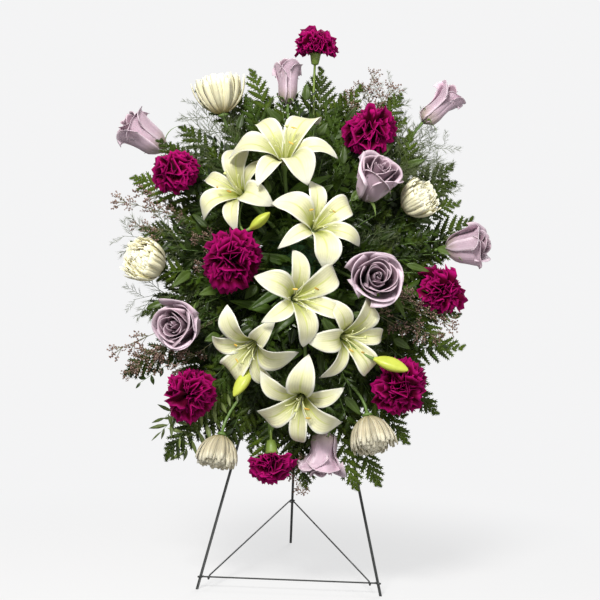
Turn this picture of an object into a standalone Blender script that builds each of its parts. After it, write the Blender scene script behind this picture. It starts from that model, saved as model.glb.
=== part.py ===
"""Standing funeral spray: cut flowers and fern in a caged foam block, tied to a folding wire easel.

Metres, +Z up, +X to the viewer's right, +Y away from the viewer. The origin is on the floor, under the
middle of the arrangement. Every stem is pushed into its own hole in the foam.
"""

import math

import bmesh
import bpy
from mathutils import Matrix, Vector

# ---------------------------------------------------------------- driving dimensions
LEAN = math.radians(14.0)  # the front legs, and the spray with them, lean back this far
MIDDLE_X = 0.008  # the easel stands this far right of the blooms' middle
FRONT_FEET_Y = -0.118
REAR_FOOT_Y = 0.282
FOOT_HALF_SPREAD = 0.158
PIVOT_HEIGHT = 0.625  # the pin through the eyes at the top of the three legs
LEG_RADIUS = 0.0024
BRACE_RADIUS = 0.0015
CROSSBAR_HEIGHT = 0.020
HOOK_HEIGHT = 0.0915  # where the brace hooks round the rear leg
TOUCH = 0.0003  # gap left between pieces that touch

FOAM_HALF_WIDTH = 0.056
FOAM_HALF_HEIGHT = 0.118
FOAM_THICKNESS = 0.080
FOAM_SLANT = 0.562  # distance of the foam's middle from the floor, along the lean
LEG_TO_FACE = 0.0932  # from the plane of the leg wires to the foam's front face
FOAM_LAYERS = (-0.013, -0.040, -0.066)  # depths of the three rows of holes round the block's edge
SIDE_INSERT = 0.022  # how deep a stem goes in at the side, and at the top or bottom, and at the front
END_INSERT = 0.034
FRONT_INSERT = 0.044

PAINTED_WIRE = (0.045, 0.050, 0.045)
CAGE_GREEN = (0.05, 0.13, 0.06)
FOAM_GREEN = (0.10, 0.22, 0.10)
TIE_BLACK = (0.02, 0.02, 0.02)
FERN_GREEN = (0.04, 0.12, 0.02)
FILLER_BROWN = (0.16, 0.13, 0.08)
LILY_CREAM = (0.86, 0.86, 0.62)
ROSE_LAVENDER = (0.50, 0.38, 0.52)
CARNATION_PURPLE = (0.33, 0.01, 0.14)
MUM_WHITE = (0.88, 0.86, 0.72)

for leftover in list(bpy.data.objects):
    bpy.data.objects.remove(leftover)

# ---------------------------------------------------------------- the spray's own frame
# u runs across the spray, v up along its lean, and w out of it towards the viewer, from the middle of
# the foam's front face.
FACING = Vector((0.0, -math.cos(LEAN), math.sin(LEAN)))
CLIMB = Vector((0.0, math.sin(LEAN), math.cos(LEAN)))
ACROSS = Vector((1.0, 0.0, 0.0))
FACE_CENTRE = Vector((MIDDLE_X, FRONT_FEET_Y, 0.0)) + CLIMB * FOAM_SLANT + FACING * LEG_TO_FACE
SPRAY = Matrix.Translation(FACE_CENTRE) @ Matrix((ACROSS, CLIMB, FACING)).transposed().to_4x4()


def spray_point(u, v, w):
    return SPRAY @ Vector((u, v, w))


def spray_direction(u, v, w):
    return (SPRAY.to_3x3() @ Vector((u, v, w))).normalized()


# ---------------------------------------------------------------- making and finishing objects
MATERIALS = {}


def material(name, colour, roughness, metallic=0.0):
    """One Principled material, made the first time that it is asked for."""
    if name not in MATERIALS:
        made = bpy.data.materials.new(name)
        made.use_nodes = True
        shader = made.node_tree.nodes["Principled BSDF"]
        shader.inputs["Base Color"].default_value = (*colour, 1.0)
        shader.inputs["Roughness"].default_value = roughness
        shader.inputs["Metallic"].default_value = metallic
        MATERIALS[name] = made
    return MATERIALS[name]


def finished(name, bm, finish, sharp=40.0, origin=(0.0, 0.0, 0.0)):
    """Turns a finished bmesh into an object with its material, shaded smooth but for sharp edges."""
    mesh = bpy.data.meshes.new(name)
    bmesh.ops.translate(bm, verts=bm.verts, vec=-Vector(origin))
    bm.to_mesh(mesh)
    bm.free()
    mesh.shade_smooth()
    mesh.set_sharp_from_angle(angle=math.radians(sharp))
    mesh.materials.append(finish)
    obj = bpy.data.objects.new(name, mesh)
    obj.location = origin
    bpy.context.scene.collection.objects.link(obj)
    return obj


def boolean(obj, operation, cutters):
    """Joins or cuts obj with other objects, which become hidden helpers."""
    group = bpy.data.collections.new(obj.name + "_helpers")
    for cutter in cutters:
        group.objects.link(cutter)
        cutter.hide_render = True
        cutter.display_type = "WIRE"
    step = obj.modifiers.new(operation.lower(), "BOOLEAN")
    step.operation = operation
    step.solver = "EXACT"
    step.operand_type = "COLLECTION"
    step.collection = group


# ---------------------------------------------------------------- solids that grow ring by ring
def frame_along(point, direction, side):
    """A frame at point whose z is direction and whose x is as near side as it can be."""
    z = direction.normalized()
    x = (side - z * side.dot(z)).normalized()
    return Matrix.Translation(point) @ Matrix((x, z.cross(x), z)).transposed().to_4x4()


def frames_on(points, side):
    """Frames along a path, each turned from the one before by as little as the bend needs."""
    frames = []
    for i, point in enumerate(points):
        ahead = points[min(i + 1, len(points) - 1)] - points[max(i - 1, 0)]
        frame = frame_along(point, ahead, side)
        side = frame.to_3x3() @ Vector((1.0, 0.0, 0.0))
        frames.append(frame)
    return frames


def lay_ring(corners, frame, radius, rise=0.0, angles=None):
    """Puts the corners of a ring round frame. radius and rise are numbers, or functions of the angle."""
    for corner in corners:
        angle = angles[corner]
        out = radius(angle) if callable(radius) else radius
        up = rise(angle) if callable(rise) else rise
        corner.co = frame @ Vector((out * math.cos(angle), out * math.sin(angle), up))


def angle_in(frame, corner):
    local = frame.inverted() @ corner.co
    return math.atan2(local.y, local.x)


class Shoot:
    """A closed solid that starts as a short prism and grows from its end face."""

    def __init__(self, first, second, radius, sides):
        self.bm = bmesh.new()
        bmesh.ops.create_cone(
            self.bm, cap_ends=True, cap_tris=False, segments=sides, radius1=1.0, radius2=1.0, depth=2.0
        )
        self.bm.faces.ensure_lookup_table()
        self.end = max(self.bm.faces, key=lambda face: face.calc_center_median().z)
        self.frame = second
        for corner in self.bm.verts:
            angle = math.atan2(corner.co.y, corner.co.x)
            ring = second if corner.co.z > 0 else first
            corner.co = ring @ Vector((radius * math.cos(angle), radius * math.sin(angle), 0.0))

    def grow(self, frame, radius, rise=0.0):
        """Extrudes the end face to a new ring, and returns the ring's side faces."""
        self.end = bmesh.ops.extrude_discrete_faces(self.bm, faces=[self.end])["faces"][0]
        angles = {corner: angle_in(self.frame, corner) for corner in self.end.verts}
        lay_ring(self.end.verts, frame, radius, rise, angles)
        self.frame = frame
        sides = []
        for edge in self.end.edges:
            sides += [face for face in edge.link_faces if face is not self.end]
        for face in sides:
            face.normal_update()
        return sides

    def split_ring(self, cuts):
        """Gives the end face more corners, for a head that is wider than its stem."""
        bmesh.ops.subdivide_edges(self.bm, edges=list(self.end.edges), cuts=cuts)
        for corner in self.end.verts:
            local = self.frame.inverted() @ corner.co
            reach = max((self.frame.inverted() @ v.co).xy.length for v in self.end.verts)
            angle = math.atan2(local.y, local.x)
            corner.co = self.frame @ Vector((reach * math.cos(angle), reach * math.sin(angle), 0.0))

    def peak(self, height):
        """Closes the end face to a middle point at this height over the last frame."""
        made = bmesh.ops.poke(self.bm, faces=[self.end])
        made["verts"][0].co = self.frame @ Vector((0.0, 0.0, height))


def at(frame, height):
    """The frame moved up its own z."""
    return frame @ Matrix.Translation((0.0, 0.0, height))


# ---------------------------------------------------------------- the wire easel
def wire(name, points, radius, sides, level_start=False, origin=(0.0, 0.0, 0.0)):
    """A bent steel wire along points. level_start cuts its first end flat, parallel to the floor."""
    frames = frames_on(points, ACROSS if abs((points[1] - points[0]).normalized().x) < 0.9 else FACING)
    shoot = Shoot(frames[0], frames[1], radius, sides)
    for frame in frames[2:]:
        shoot.grow(frame, radius)
    if level_start:
        run = (points[1] - points[0]).normalized()
        for corner in shoot.bm.verts:
            if (corner.co - points[0]).length < 2.0 * radius:
                corner.co += run * (points[0].z - corner.co.z) / run.z
    return finished(name, shoot.bm, material("painted_wire", PAINTED_WIRE, 0.45, 0.6), 60.0, origin)


def arc(centre, first, second, radius, start, stop, steps):
    """Points of an arc in the plane of the unit vectors first and second, angles in degrees."""
    found = []
    for i in range(steps + 1):
        angle = math.radians(start + (stop - start) * i / steps)
        found.append(centre + (first * math.cos(angle) + second * math.sin(angle)) * radius)
    return found


PIN_RADIUS = 0.0022
EYE_RADIUS = PIN_RADIUS + 2.0 * TOUCH + LEG_RADIUS  # of the wire's centre line
PIVOT = Vector((MIDDLE_X, FRONT_FEET_Y, PIVOT_HEIGHT))
PIVOT.y += PIVOT_HEIGHT * math.tan(LEAN) + EYE_RADIUS / math.cos(LEAN)
EYE_PITCH = 2.0 * LEG_RADIUS + 0.0014  # from one leg's eye to the next, along the pin
EYE_TURN = 300.0
EYE_STEPS = 10


def leg(name, foot, eye_x):
    """A leg: straight up from its foot, ending in an eye that the pivot pin goes through."""
    centre = PIVOT + ACROSS * eye_x
    run = foot - centre
    flat = Vector((0.0, run.y, run.z)).normalized()
    side = flat.cross(ACROSS)
    eye = arc(centre, side, -flat, EYE_RADIUS, 0.0, EYE_TURN, EYE_STEPS)
    bend = eye[0] + flat * 0.010
    bend.x += (foot.x - bend.x) * 0.010 / run.length
    straight = [foot.lerp(bend, share) for share in (0.0, 0.5)]
    return wire(name, [*straight, bend, *eye], LEG_RADIUS, 8, level_start=True, origin=centre)


leg("front_leg_left", Vector((MIDDLE_X - FOOT_HALF_SPREAD, FRONT_FEET_Y, 0.0)), -EYE_PITCH)
leg("front_leg_right", Vector((MIDDLE_X + FOOT_HALF_SPREAD, FRONT_FEET_Y, 0.0)), EYE_PITCH)
leg("rear_leg", Vector((MIDDLE_X, REAR_FOOT_Y, 0.0)), 0.0)


def pivot_pin():
    """The rivet through the three eyes, with a domed head at each end."""
    half = EYE_PITCH + LEG_RADIUS + TOUCH
    ends = [(-half - 0.0024, 0.0022), (-half - 0.0016, 0.0040), (-half, 0.0040)]
    profile = [*ends, (-half, PIN_RADIUS), *[(-x, r) for x, r in reversed([*ends, (-half, PIN_RADIUS)])]]
    turned = {x: frame_along(PIVOT + ACROSS * x, ACROSS, FACING) for x, _ in profile}
    shoot = Shoot(turned[profile[0][0]], turned[profile[1][0]], profile[1][1], 10)
    lay = [c for c in shoot.bm.verts if c not in set(shoot.end.verts)]
    first = turned[profile[0][0]]
    lay_ring(lay, first, profile[0][1], 0.0, {c: angle_in(first, c) for c in lay})
    for x, r in profile[2:]:
        shoot.grow(turned[x], r)
    return finished("pivot_pin", shoot.bm, material("painted_wire", PAINTED_WIRE, 0.45, 0.6))


pivot_pin()

# The crossbar lies just behind the front legs, and its ends are bent right round them.
BAR_CENTRE = Vector((MIDDLE_X, FRONT_FEET_Y + CROSSBAR_HEIGHT * math.tan(LEAN), CROSSBAR_HEIGHT))
WRAP = LEG_RADIUS + BRACE_RADIUS + TOUCH
BAR_END = FOOT_HALF_SPREAD * (1.0 - CROSSBAR_HEIGHT / PIVOT_HEIGHT)
BACK = Vector((0.0, 1.0, 0.0))
UP = Vector((0.0, 0.0, 1.0))


def crossbar():
    """Bent round each front leg for most of a turn, climbing a little so that it clears itself."""
    points = []
    for side in (-1.0, 1.0):
        centre = BAR_CENTRE + ACROSS * side * BAR_END
        turn = arc(centre, BACK, ACROSS * side, WRAP, 0.0, 290.0, 9)
        for i, point in enumerate(turn):
            point.z += 0.0016 * i / 9.0
            point.x -= side * math.tan(math.asin(FOOT_HALF_SPREAD / 0.66)) * (point.z - BAR_CENTRE.z)
        points += turn[::-1] if side < 0 else turn
    return wire("front_crossbar", points, BRACE_RADIUS, 6)


crossbar()

BAR_AXIS = BAR_CENTRE + BACK * WRAP
EYE_ON_BAR = 2.0 * BRACE_RADIUS + 2.0 * TOUCH
BRACE_END = BAR_END - 0.016


def brace(name, side, height):
    """Half of the V brace: an eye round the crossbar, and a hook behind the rear leg at this height."""
    hook = Vector((MIDDLE_X, REAR_FOOT_Y + (PIVOT.y - REAR_FOOT_Y) * height / PIVOT_HEIGHT, height))
    centre = BAR_AXIS + ACROSS * side * BRACE_END
    run = (hook - centre).normalized()
    flat = Vector((0.0, run.y, run.z)).normalized()
    eye = arc(centre, ACROSS.cross(flat), flat, EYE_ON_BAR, -230.0, 20.0, 8)
    for i, point in enumerate(eye):
        point.x += side * 0.0034 * (1.0 - i / 8.0)
    shoulder = hook + ACROSS * side * WRAP - run * 0.006
    bend = arc(hook, ACROSS * side, BACK, WRAP, 0.0, 180.0, 6)
    wire(name, [*eye, eye[-1].lerp(shoulder, 0.5), shoulder, *bend], BRACE_RADIUS, 6, origin=BAR_AXIS)


brace("brace_left", -1.0, HOOK_HEIGHT)
brace("brace_right", 1.0, HOOK_HEIGHT - 2.0 * BRACE_RADIUS - 2.0 * TOUCH)


# ---------------------------------------------------------------- the foam holder
def box(name, low, high, finish):
    """A box between two corners given in the spray's frame."""
    bm = bmesh.new()
    middle = [(a + b) / 2.0 for a, b in zip(low, high)]
    size = [b - a for a, b in zip(low, high)]
    bmesh.ops.create_cube(bm, size=1.0, matrix=SPRAY @ Matrix.LocRotScale(Vector(middle), None, size))
    return finished(name, bm, finish)


PLASTIC = material("cage_plastic", CAGE_GREEN, 0.5)
TRAY_BACK = -FOAM_THICKNESS - TOUCH  # the inner face of the tray's back wall
TRAY_WALL = 0.0022
RIM_FRONT = -0.073
HANDLE_GAP = 0.0040
HANDLE_BAR = 0.0040
HANDLE_ROWS = (-0.060, 0.060)  # places of the two moulded handles, up the tray


def tray():
    """The moulded back of the holder: a shallow pan with two bridge handles for the ties."""
    outer_u = FOAM_HALF_WIDTH + TOUCH + TRAY_WALL
    outer_v = FOAM_HALF_HEIGHT + TOUCH + TRAY_WALL
    back = TRAY_BACK - TRAY_WALL
    pan = box("cage_tray", (-outer_u, -outer_v, back), (outer_u, outer_v, RIM_FRONT), PLASTIC)
    inner_u, inner_v = FOAM_HALF_WIDTH + TOUCH, FOAM_HALF_HEIGHT + TOUCH
    well = box("tray_well", (-inner_u, -inner_v, TRAY_BACK), (inner_u, inner_v, 0.01), PLASTIC)
    boolean(pan, "DIFFERENCE", [well])
    joined = []
    for row, v in enumerate(HANDLE_ROWS):
        bar_back = back - HANDLE_GAP - HANDLE_BAR
        low, high = (-0.050, v - 0.003, bar_back), (0.050, v + 0.003, back - HANDLE_GAP)
        joined.append(box(f"handle_bar_{row}", low, high, PLASTIC))
        for post, u in enumerate((-0.051, 0.0, 0.051)):
            low, high = (u - 0.003, v - 0.0034, bar_back - 0.0002), (u + 0.003, v + 0.0034, back + 0.001)
            joined.append(box(f"handle_post_{row}_{post}", low, high, PLASTIC))
    boolean(pan, "UNION", joined)
    return pan


tray()

HOOP_ROWS = (-0.077, -0.033, 0.033, 0.077)  # between the rows of stems
RUNNER_COLUMNS = (-0.030, 0.030)
COVER_BAR = 0.0015  # half the width of a bar
COVER_LOW = RIM_FRONT + TOUCH
EDGE_BAND = -0.053  # depth of the band that runs round the holder's edge


def cover():
    """The snap-on grid over the foam: hoops across it, runners along it and a band round its edge."""
    in_u, in_v = FOAM_HALF_WIDTH + TOUCH, FOAM_HALF_HEIGHT + TOUCH
    thick = 0.0024
    runner = 0.0021
    bars = []
    for v in HOOP_ROWS:
        low, high = v - COVER_BAR, v + COVER_BAR
        bars.append(((-in_u - thick, low, TOUCH), (in_u + thick, high, TOUCH + thick)))
        for side in (-1.0, 1.0):
            u = sorted((side * in_u, side * (in_u + thick)))
            bars.append(((u[0], low, COVER_LOW), (u[1], high, TOUCH + thick - 0.0001)))
    for u in RUNNER_COLUMNS:
        low, high = u - COVER_BAR, u + COVER_BAR
        bars.append(((low, -in_v - runner, TOUCH + 0.0001), (high, in_v + runner, TOUCH + runner)))
        for side in (-1.0, 1.0):
            v = sorted((side * (in_v + 0.0001), side * (in_v + runner)))
            bars.append(((low, v[0], COVER_LOW), (high, v[1], TOUCH + runner - 0.0001)))
    for side in (-1.0, 1.0):
        u = sorted((side * (in_u + 0.0002), side * (in_u + thick - 0.0003)))
        reach = in_v + runner - 0.0004
        bars.append(((u[0], -reach, EDGE_BAND - 0.0014), (u[1], reach, EDGE_BAND + 0.0014)))
        v = sorted((side * (in_v + 0.0003), side * (in_v + runner - 0.0004)))
        reach = in_u + thick - 0.0003
        bars.append(((-reach, v[0], EDGE_BAND - 0.0013), (reach, v[1], EDGE_BAND + 0.0013)))
    made = [box(f"cover_bar_{i}", low, high, PLASTIC) for i, (low, high) in enumerate(bars)]
    made[0].name = "cage_cover"
    made[0].data.name = "cage_cover"
    boolean(made[0], "UNION", made[1:])


cover()


def ties():
    """Four cable ties, each closed cornerwise round a front leg and a handle of the tray."""
    near = TRAY_BACK - TRAY_WALL - HANDLE_GAP + TOUCH
    far = -LEG_TO_FACE - LEG_RADIUS - TOUCH
    strap, half_width = 0.0011, 0.0017
    loop = ((-0.0076, near), (0.0076, near), (0.0058, far), (-0.0058, far))
    outer = ((-0.0088, near + strap), (0.0088, near + strap), (0.0070, far - strap), (-0.0070, far - strap))
    for row, v in zip(("lower", "upper"), HANDLE_ROWS):
        for name, side in (("left", -1.0), ("right", 1.0)):
            height = spray_point(0.0, v, -LEG_TO_FACE).z
            foot_share = 1.0 - height / PIVOT_HEIGHT
            middle = side * (EYE_PITCH + (FOOT_HALF_SPREAD - EYE_PITCH) * foot_share)
            bm = bmesh.new()
            rings = []
            for offset in (-half_width, half_width):
                for outline in (outer, loop):
                    ring = []
                    for along, w in outline:
                        u, rise = (along + offset) * math.sqrt(0.5), (along - offset) * math.sqrt(0.5)
                        ring.append(bm.verts.new(spray_point(middle + side * u, v + rise, w)))
                    rings.append(ring)
            wound = (rings[0], rings[2], rings[3], rings[1])
            for i in range(4):
                for k in range(4):
                    one, other = wound[k], wound[(k + 1) % 4]
                    j = (i + 1) % 4
                    bm.faces.new((one[i], one[j], other[j], other[i]))
            bmesh.ops.recalc_face_normals(bm, faces=bm.faces)
            finished(f"tie_{row}_{name}", bm, material("tie_nylon", TIE_BLACK, 0.4))


ties()

# ---------------------------------------------------------------- stems and the foam's holes
HOLES = []  # (outer point, inward direction, depth, radius) of every stem in the foam


def socket(face, place, layer=0):
    """Where a stem meets the foam, and the way that it comes out. face is front, left, right, top or
    bottom; place is its row or column; layer counts back from the front on the block's edges."""
    depth = FOAM_LAYERS[layer]
    if face == "front":
        column, row = place
        return Vector((column * 0.022, row * 0.022, 0.0)), Vector((0.0, 0.0, 1.0)), FRONT_INSERT
    if face in ("left", "right"):
        side = -1.0 if face == "left" else 1.0
        return Vector((side * FOAM_HALF_WIDTH, place * 0.022, depth)), Vector((side, 0.0, 0.0)), SIDE_INSERT
    side = 1.0 if face == "top" else -1.0
    return Vector((place * 0.015, side * FOAM_HALF_HEIGHT, depth)), Vector((0.0, side, 0.0)), END_INSERT


def stem_path(hole, tip, facing, shares, pull=0.45):
    """Points from the bottom of the hole, out of the foam and along one smooth curve to the head."""
    place, outward, depth = hole
    outward = (SPRAY.to_3x3() @ outward).normalized()
    mouth = SPRAY @ place
    reach = (tip - mouth).length * pull
    first, second = mouth + outward * reach, tip - facing * reach * 0.7
    points = [mouth - outward * depth, mouth]
    for t in shares:
        points.append(
            mouth * (1 - t) ** 3 + first * 3 * t * (1 - t) ** 2 + second * 3 * t * t * (1 - t) + tip * t**3
        )
    return points


# Each is a row of places along a blade: share of its length, and share of its half width.
SMOOTH_LEAF = ((0.16, 0.30), (0.42, 1.0), (0.72, 0.80), (1.0, 0.08))
TOOTHED_FROND = (
    (0.20, 0.25), (0.34, 1.0), (0.48, 0.62), (0.60, 0.86), (0.74, 0.48), (0.86, 0.55), (1.0, 0.06),
)
LEAF_THICKNESS = 0.0014
BAND = 0.05  # of the stem's length, where a leaf leaves it


def grow_leaf(bm, walls, turn, reach, rise, half, outline):
    """Draws one flat leaf out of a band of a stem's wall and arches it over to its tip: turn is its way
    across the spray in degrees from +u, rise how far its tip comes forward."""
    turn = math.radians(turn)
    way = (ACROSS * math.cos(turn) + CLIMB * math.sin(turn)) * reach + FACING * rise
    face = max(walls, key=lambda f: f.normal.dot(way))
    root = face.calc_center_median()
    across = way.cross(FACING).normalized()
    flat = across.cross(way).normalized()
    section = ((-1.0, -1.0), (1.0, -1.0), (1.0, 1.0), (-1.0, 1.0))
    for share, wide in outline:
        middle = face.calc_center_median()
        face = bmesh.ops.extrude_discrete_faces(bm, faces=[face])["faces"][0]
        round_it = sorted(
            face.verts, key=lambda c: math.atan2((c.co - middle).dot(flat), (c.co - middle).dot(across))
        )
        place = root + way * share + flat * way.length * 0.5 * share * (1.0 - share)
        for corner, (x, y) in zip(round_it, section):
            corner.co = place + across * x * half * wide + flat * y * LEAF_THICKNESS / 2.0


def start_stem(hole, tip, facing, side, radius, sides=6, steps=5, pull=0.45, leaves=(), outline=SMOOTH_LEAF):
    """A stem from its hole up to the tip, ready for a head to grow on. side turns the head. Each of its
    leaves is a share of the way up the stem, then the turn, reach, rise and half width of the leaf."""
    shares = {i / steps for i in range(1, steps + 1)}
    shares = sorted(shares | {low for low, *_ in leaves} | {low + BAND for low, *_ in leaves})
    points = stem_path(hole, tip, facing, shares, pull)
    frames = [f @ Matrix.Rotation(math.pi, 4, "X") for f in frames_on(points[::-1], side)][::-1]
    frames[-1] = frame_along(tip, facing, side)
    shoot = Shoot(frames[0], frames[1], radius, sides)
    walls = {share: shoot.grow(frame, radius) for share, frame in zip(shares, frames[2:])}
    for low, turn, reach, rise, half in leaves:
        grow_leaf(shoot.bm, walls[low + BAND], turn, reach, rise, half, outline)
    place, outward, depth = hole
    HOLES.append((SPRAY @ place, (SPRAY.to_3x3() @ outward).normalized(), depth, radius))
    return shoot


def side_at(facing, turn=0.0):
    """A direction square to facing, to set a head's petals by, turned by so many degrees."""
    level = CLIMB if abs(facing.x) > 0.9 else ACROSS
    return Matrix.Rotation(math.radians(turn), 3, facing) @ (level - facing * level.dot(facing))


# ---------------------------------------------------------------- lilies
LILY_SECTIONS = (
    # share of the reach, height over the throat, half width, share of the thickness; an open bloom
    (0.26, 0.26, 0.150, 0.62),
    (0.50, 0.42, 0.235, 0.42),
    (0.74, 0.42, 0.210, 0.34),
    (0.93, 0.28, 0.110, 0.28),
    (1.00, 0.19, 0.014, 0.20),
)


def petal(bm, faces, frame, angle, reach, cup, wide):
    """Pulls a pair of side faces out into one lily petal."""
    side_of = bm.verts.layers.int["side"]
    level_of = bm.verts.layers.int["level"]
    for share, height, half, thin in LILY_SECTIONS:
        edges = {edge for face in faces for edge in face.edges}
        made = bmesh.ops.extrude_face_region(bm, geom=[*faces, *edges])["geom"]
        faces = [g for g in made if isinstance(g, bmesh.types.BMFace)]
        for corner in (g for g in made if isinstance(g, bmesh.types.BMVert)):
            across = corner[side_of] * half * wide * reach
            lift = (0.030 if corner[side_of] else 0.0) * reach
            thick = corner[level_of] * thin * 0.0022
            out = 0.010 + share * (reach - 0.010)
            up = 0.024 + height * reach * cup + lift + thick
            turned = Matrix.Rotation(angle, 3, "Z") @ Vector((out, across, 0.0))
            corner.co = frame @ Vector((turned.x, turned.y, up))


def lily(name, hole, place, facing, reach, turn=0.0, cup=1.0, bud=None, leaves=()):
    """An open lily on its leafy stem, with a closed bud on a side shoot where it has one."""
    facing = spray_direction(*facing)
    base = spray_point(*place) - facing * 0.030
    shoot = start_stem(hole, base, facing, side_at(facing, turn), 0.0032, leaves=leaves)
    if bud:
        grow_bud(shoot, *bud)
    bm = shoot.bm
    side_of = bm.verts.layers.int.new("side")
    level_of = bm.verts.layers.int.new("level")
    top = shoot.frame
    shoot.split_ring(1)
    shoot.grow(at(top, 0.018), 0.0085)
    sides = shoot.grow(at(top, 0.025), 0.0115)
    inverse = top.inverted()
    upper = set(shoot.end.verts)
    pairs = []
    for k in range(6):
        angle = math.radians(60.0 * k + 30.0)
        middles = [(face, inverse @ face.calc_center_median()) for face in sides]
        gaps = [(face, (math.atan2(m.y, m.x) - angle + math.pi) % math.tau - math.pi) for face, m in middles]
        pairs.append((k % 2, angle, [face for face, gap in gaps if abs(gap) < math.radians(30.0)]))
    for outer, angle, pair in pairs:
        for corner in {c for face in pair for c in face.verts}:
            local = inverse @ corner.co
            gap = (math.atan2(local.y, local.x) - angle + math.pi) % math.tau - math.pi
            corner[side_of] = 0 if abs(gap) < math.radians(10.0) else (1 if gap > 0 else -1)
            corner[level_of] = 1 if corner in upper else -1
        petal(bm, pair, top, angle, reach * (1.0 - 0.05 * outer), cup - 0.10 * outer, 1.0 - 0.18 * outer)
    shoot.peak(-0.006)
    return finished(name, bm, material("lily_petal", LILY_CREAM, 0.5))


def grow_bud(shoot, place, facing, length):
    """Draws a side shoot out of the stem's wall and swells it into a bud."""
    place, facing = spray_point(*place), spray_direction(*facing)
    walls = [f for f in shoot.bm.faces if len(f.verts) == 4]
    face = min(walls, key=lambda f: (f.calc_center_median() - place).length - 0.03 * f.normal.dot(facing))
    start, out = face.calc_center_median(), face.normal.copy()
    reach = (place - start).length * 0.4
    first, second = start + out * reach, place - facing * reach
    bud_rings = ((0.12, 0.0055), (0.35, 0.0095), (0.70, 0.0085), (0.93, 0.0040), (1.0, 0.0012))
    rings = [(start * (1 - t) ** 3 + first * 3 * t * (1 - t) ** 2 + second * 3 * t * t * (1 - t)
              + place * t**3, 0.0020) for t in (0.35, 0.7, 1.0)]
    rings += [(place + facing * length * share, radius) for share, radius in bud_rings]
    frames = frames_on([start, *[point for point, _ in rings]], ACROSS)
    branch = Shoot.__new__(Shoot)
    branch.bm, branch.end, branch.frame = shoot.bm, face, frames[0]
    for frame, (_, radius) in zip(frames[1:], rings):
        branch.grow(frame, radius)


LILIES = {
    # socket on the front face (column, row), place of the throat, facing, reach of a petal, turn, cup
    "lily_top": ((-1, 3), (-0.035, 0.150, 0.108), (-0.03, 0.54, 0.84), 0.094, 36.0, 1.0),
    "lily_upper_left": ((-1, 1), (-0.110, 0.086, 0.088), (-0.73, 0.37, 0.58), 0.080, 20.0, 1.1),
    "lily_upper_right": ((0, 2), (0.020, 0.029, 0.132), (0.33, 0.20, 0.92), 0.082, 10.0, 1.0),
    "lily_centre": ((0, 0), (-0.008, -0.094, 0.152), (0.40, -0.08, 0.90), 0.080, 6.0, 1.0),
    "lily_lower_left": ((-1, -2), (-0.072, -0.162, 0.104), (-0.44, -0.63, 0.64), 0.080, -30.0, 1.0),
    "lily_lower_right": ((1, -2), (0.086, -0.154, 0.099), (0.74, -0.30, 0.60), 0.078, 27.0, 1.0),
    "lily_bottom": ((0, -3), (0.008, -0.246, 0.083), (-0.15, -0.61, 0.78), 0.082, 60.0, 1.0),
}
LILY_BUDS = {
    "lily_upper_left": ((-0.086, 0.026, 0.125), (0.72, 0.58, 0.30), 0.042),
    "lily_lower_left": ((-0.076, -0.206, 0.092), (-0.50, -0.84, 0.10), 0.052),
    "lily_lower_right": ((0.128, -0.182, 0.105), (0.95, -0.30, 0.10), 0.056),
}
LILY_LEAF_STARTS = (0.22, 0.42, 0.62)  # shares of the stem
LILY_LEAF_RISE = 0.008
LILY_LEAF_HALF = 0.0095
LILY_LEAVES = {
    # turn and reach of each leaf, from the lowest up
    "lily_top": ((60.0, 0.095), (150.0, 0.090), (25.0, 0.085)),
    "lily_upper_left": ((170.0, 0.095), (215.0, 0.085), (125.0, 0.080)),
    "lily_upper_right": ((40.0, 0.090), (5.0, 0.090), (325.0, 0.080)),
    "lily_centre": ((170.0, 0.085), (335.0, 0.085), (215.0, 0.075)),
    "lily_lower_left": ((205.0, 0.095), (240.0, 0.090), (170.0, 0.080)),
    "lily_lower_right": ((345.0, 0.095), (10.0, 0.085), (305.0, 0.085)),
    "lily_bottom": ((225.0, 0.090), (300.0, 0.090), (200.0, 0.085)),
}
for lily_name, ((column, row), *shape) in LILIES.items():
    bud = LILY_BUDS.get(lily_name)
    leaves = [
        (start, turn, reach, LILY_LEAF_RISE, LILY_LEAF_HALF)
        for start, (turn, reach) in zip(LILY_LEAF_STARTS, LILY_LEAVES[lily_name])
    ]
    lily(lily_name, socket("front", (column, row)), *shape, bud=bud, leaves=leaves)


# ---------------------------------------------------------------- roses, carnations and mums
def wavy(radius, waves, share, phase=0.0):
    """A radius that waves round the head."""
    return lambda angle: radius * (1.0 + share * math.cos(waves * angle + phase))


def head(name, hole, place, facing, size, rings, stem_radius, finish, tall=None):
    """A flower head of stacked rings on its stem. Each ring is a height and a radius in head sizes, and
    the number of waves round it with their depth. size is the head's radius, place its middle, and tall
    its height in head sizes where that isn't the rings' own."""
    facing = spray_direction(*facing)
    low, high = rings[0][0], rings[-1][0]
    stretch = tall / (low + high) if tall else 1.0
    base = spray_point(*place) - facing * (low + high) / 2.0 * stretch * size
    shoot = start_stem(hole, base, facing, side_at(facing), stem_radius)
    top = shoot.frame
    shoot.split_ring(1)
    for index, (height, radius, waves, depth) in enumerate(rings):
        shoot.grow(at(top, height * stretch * size), wavy(radius * size, waves, depth, index * 1.1))
    return finished(name, shoot.bm, finish)


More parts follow.
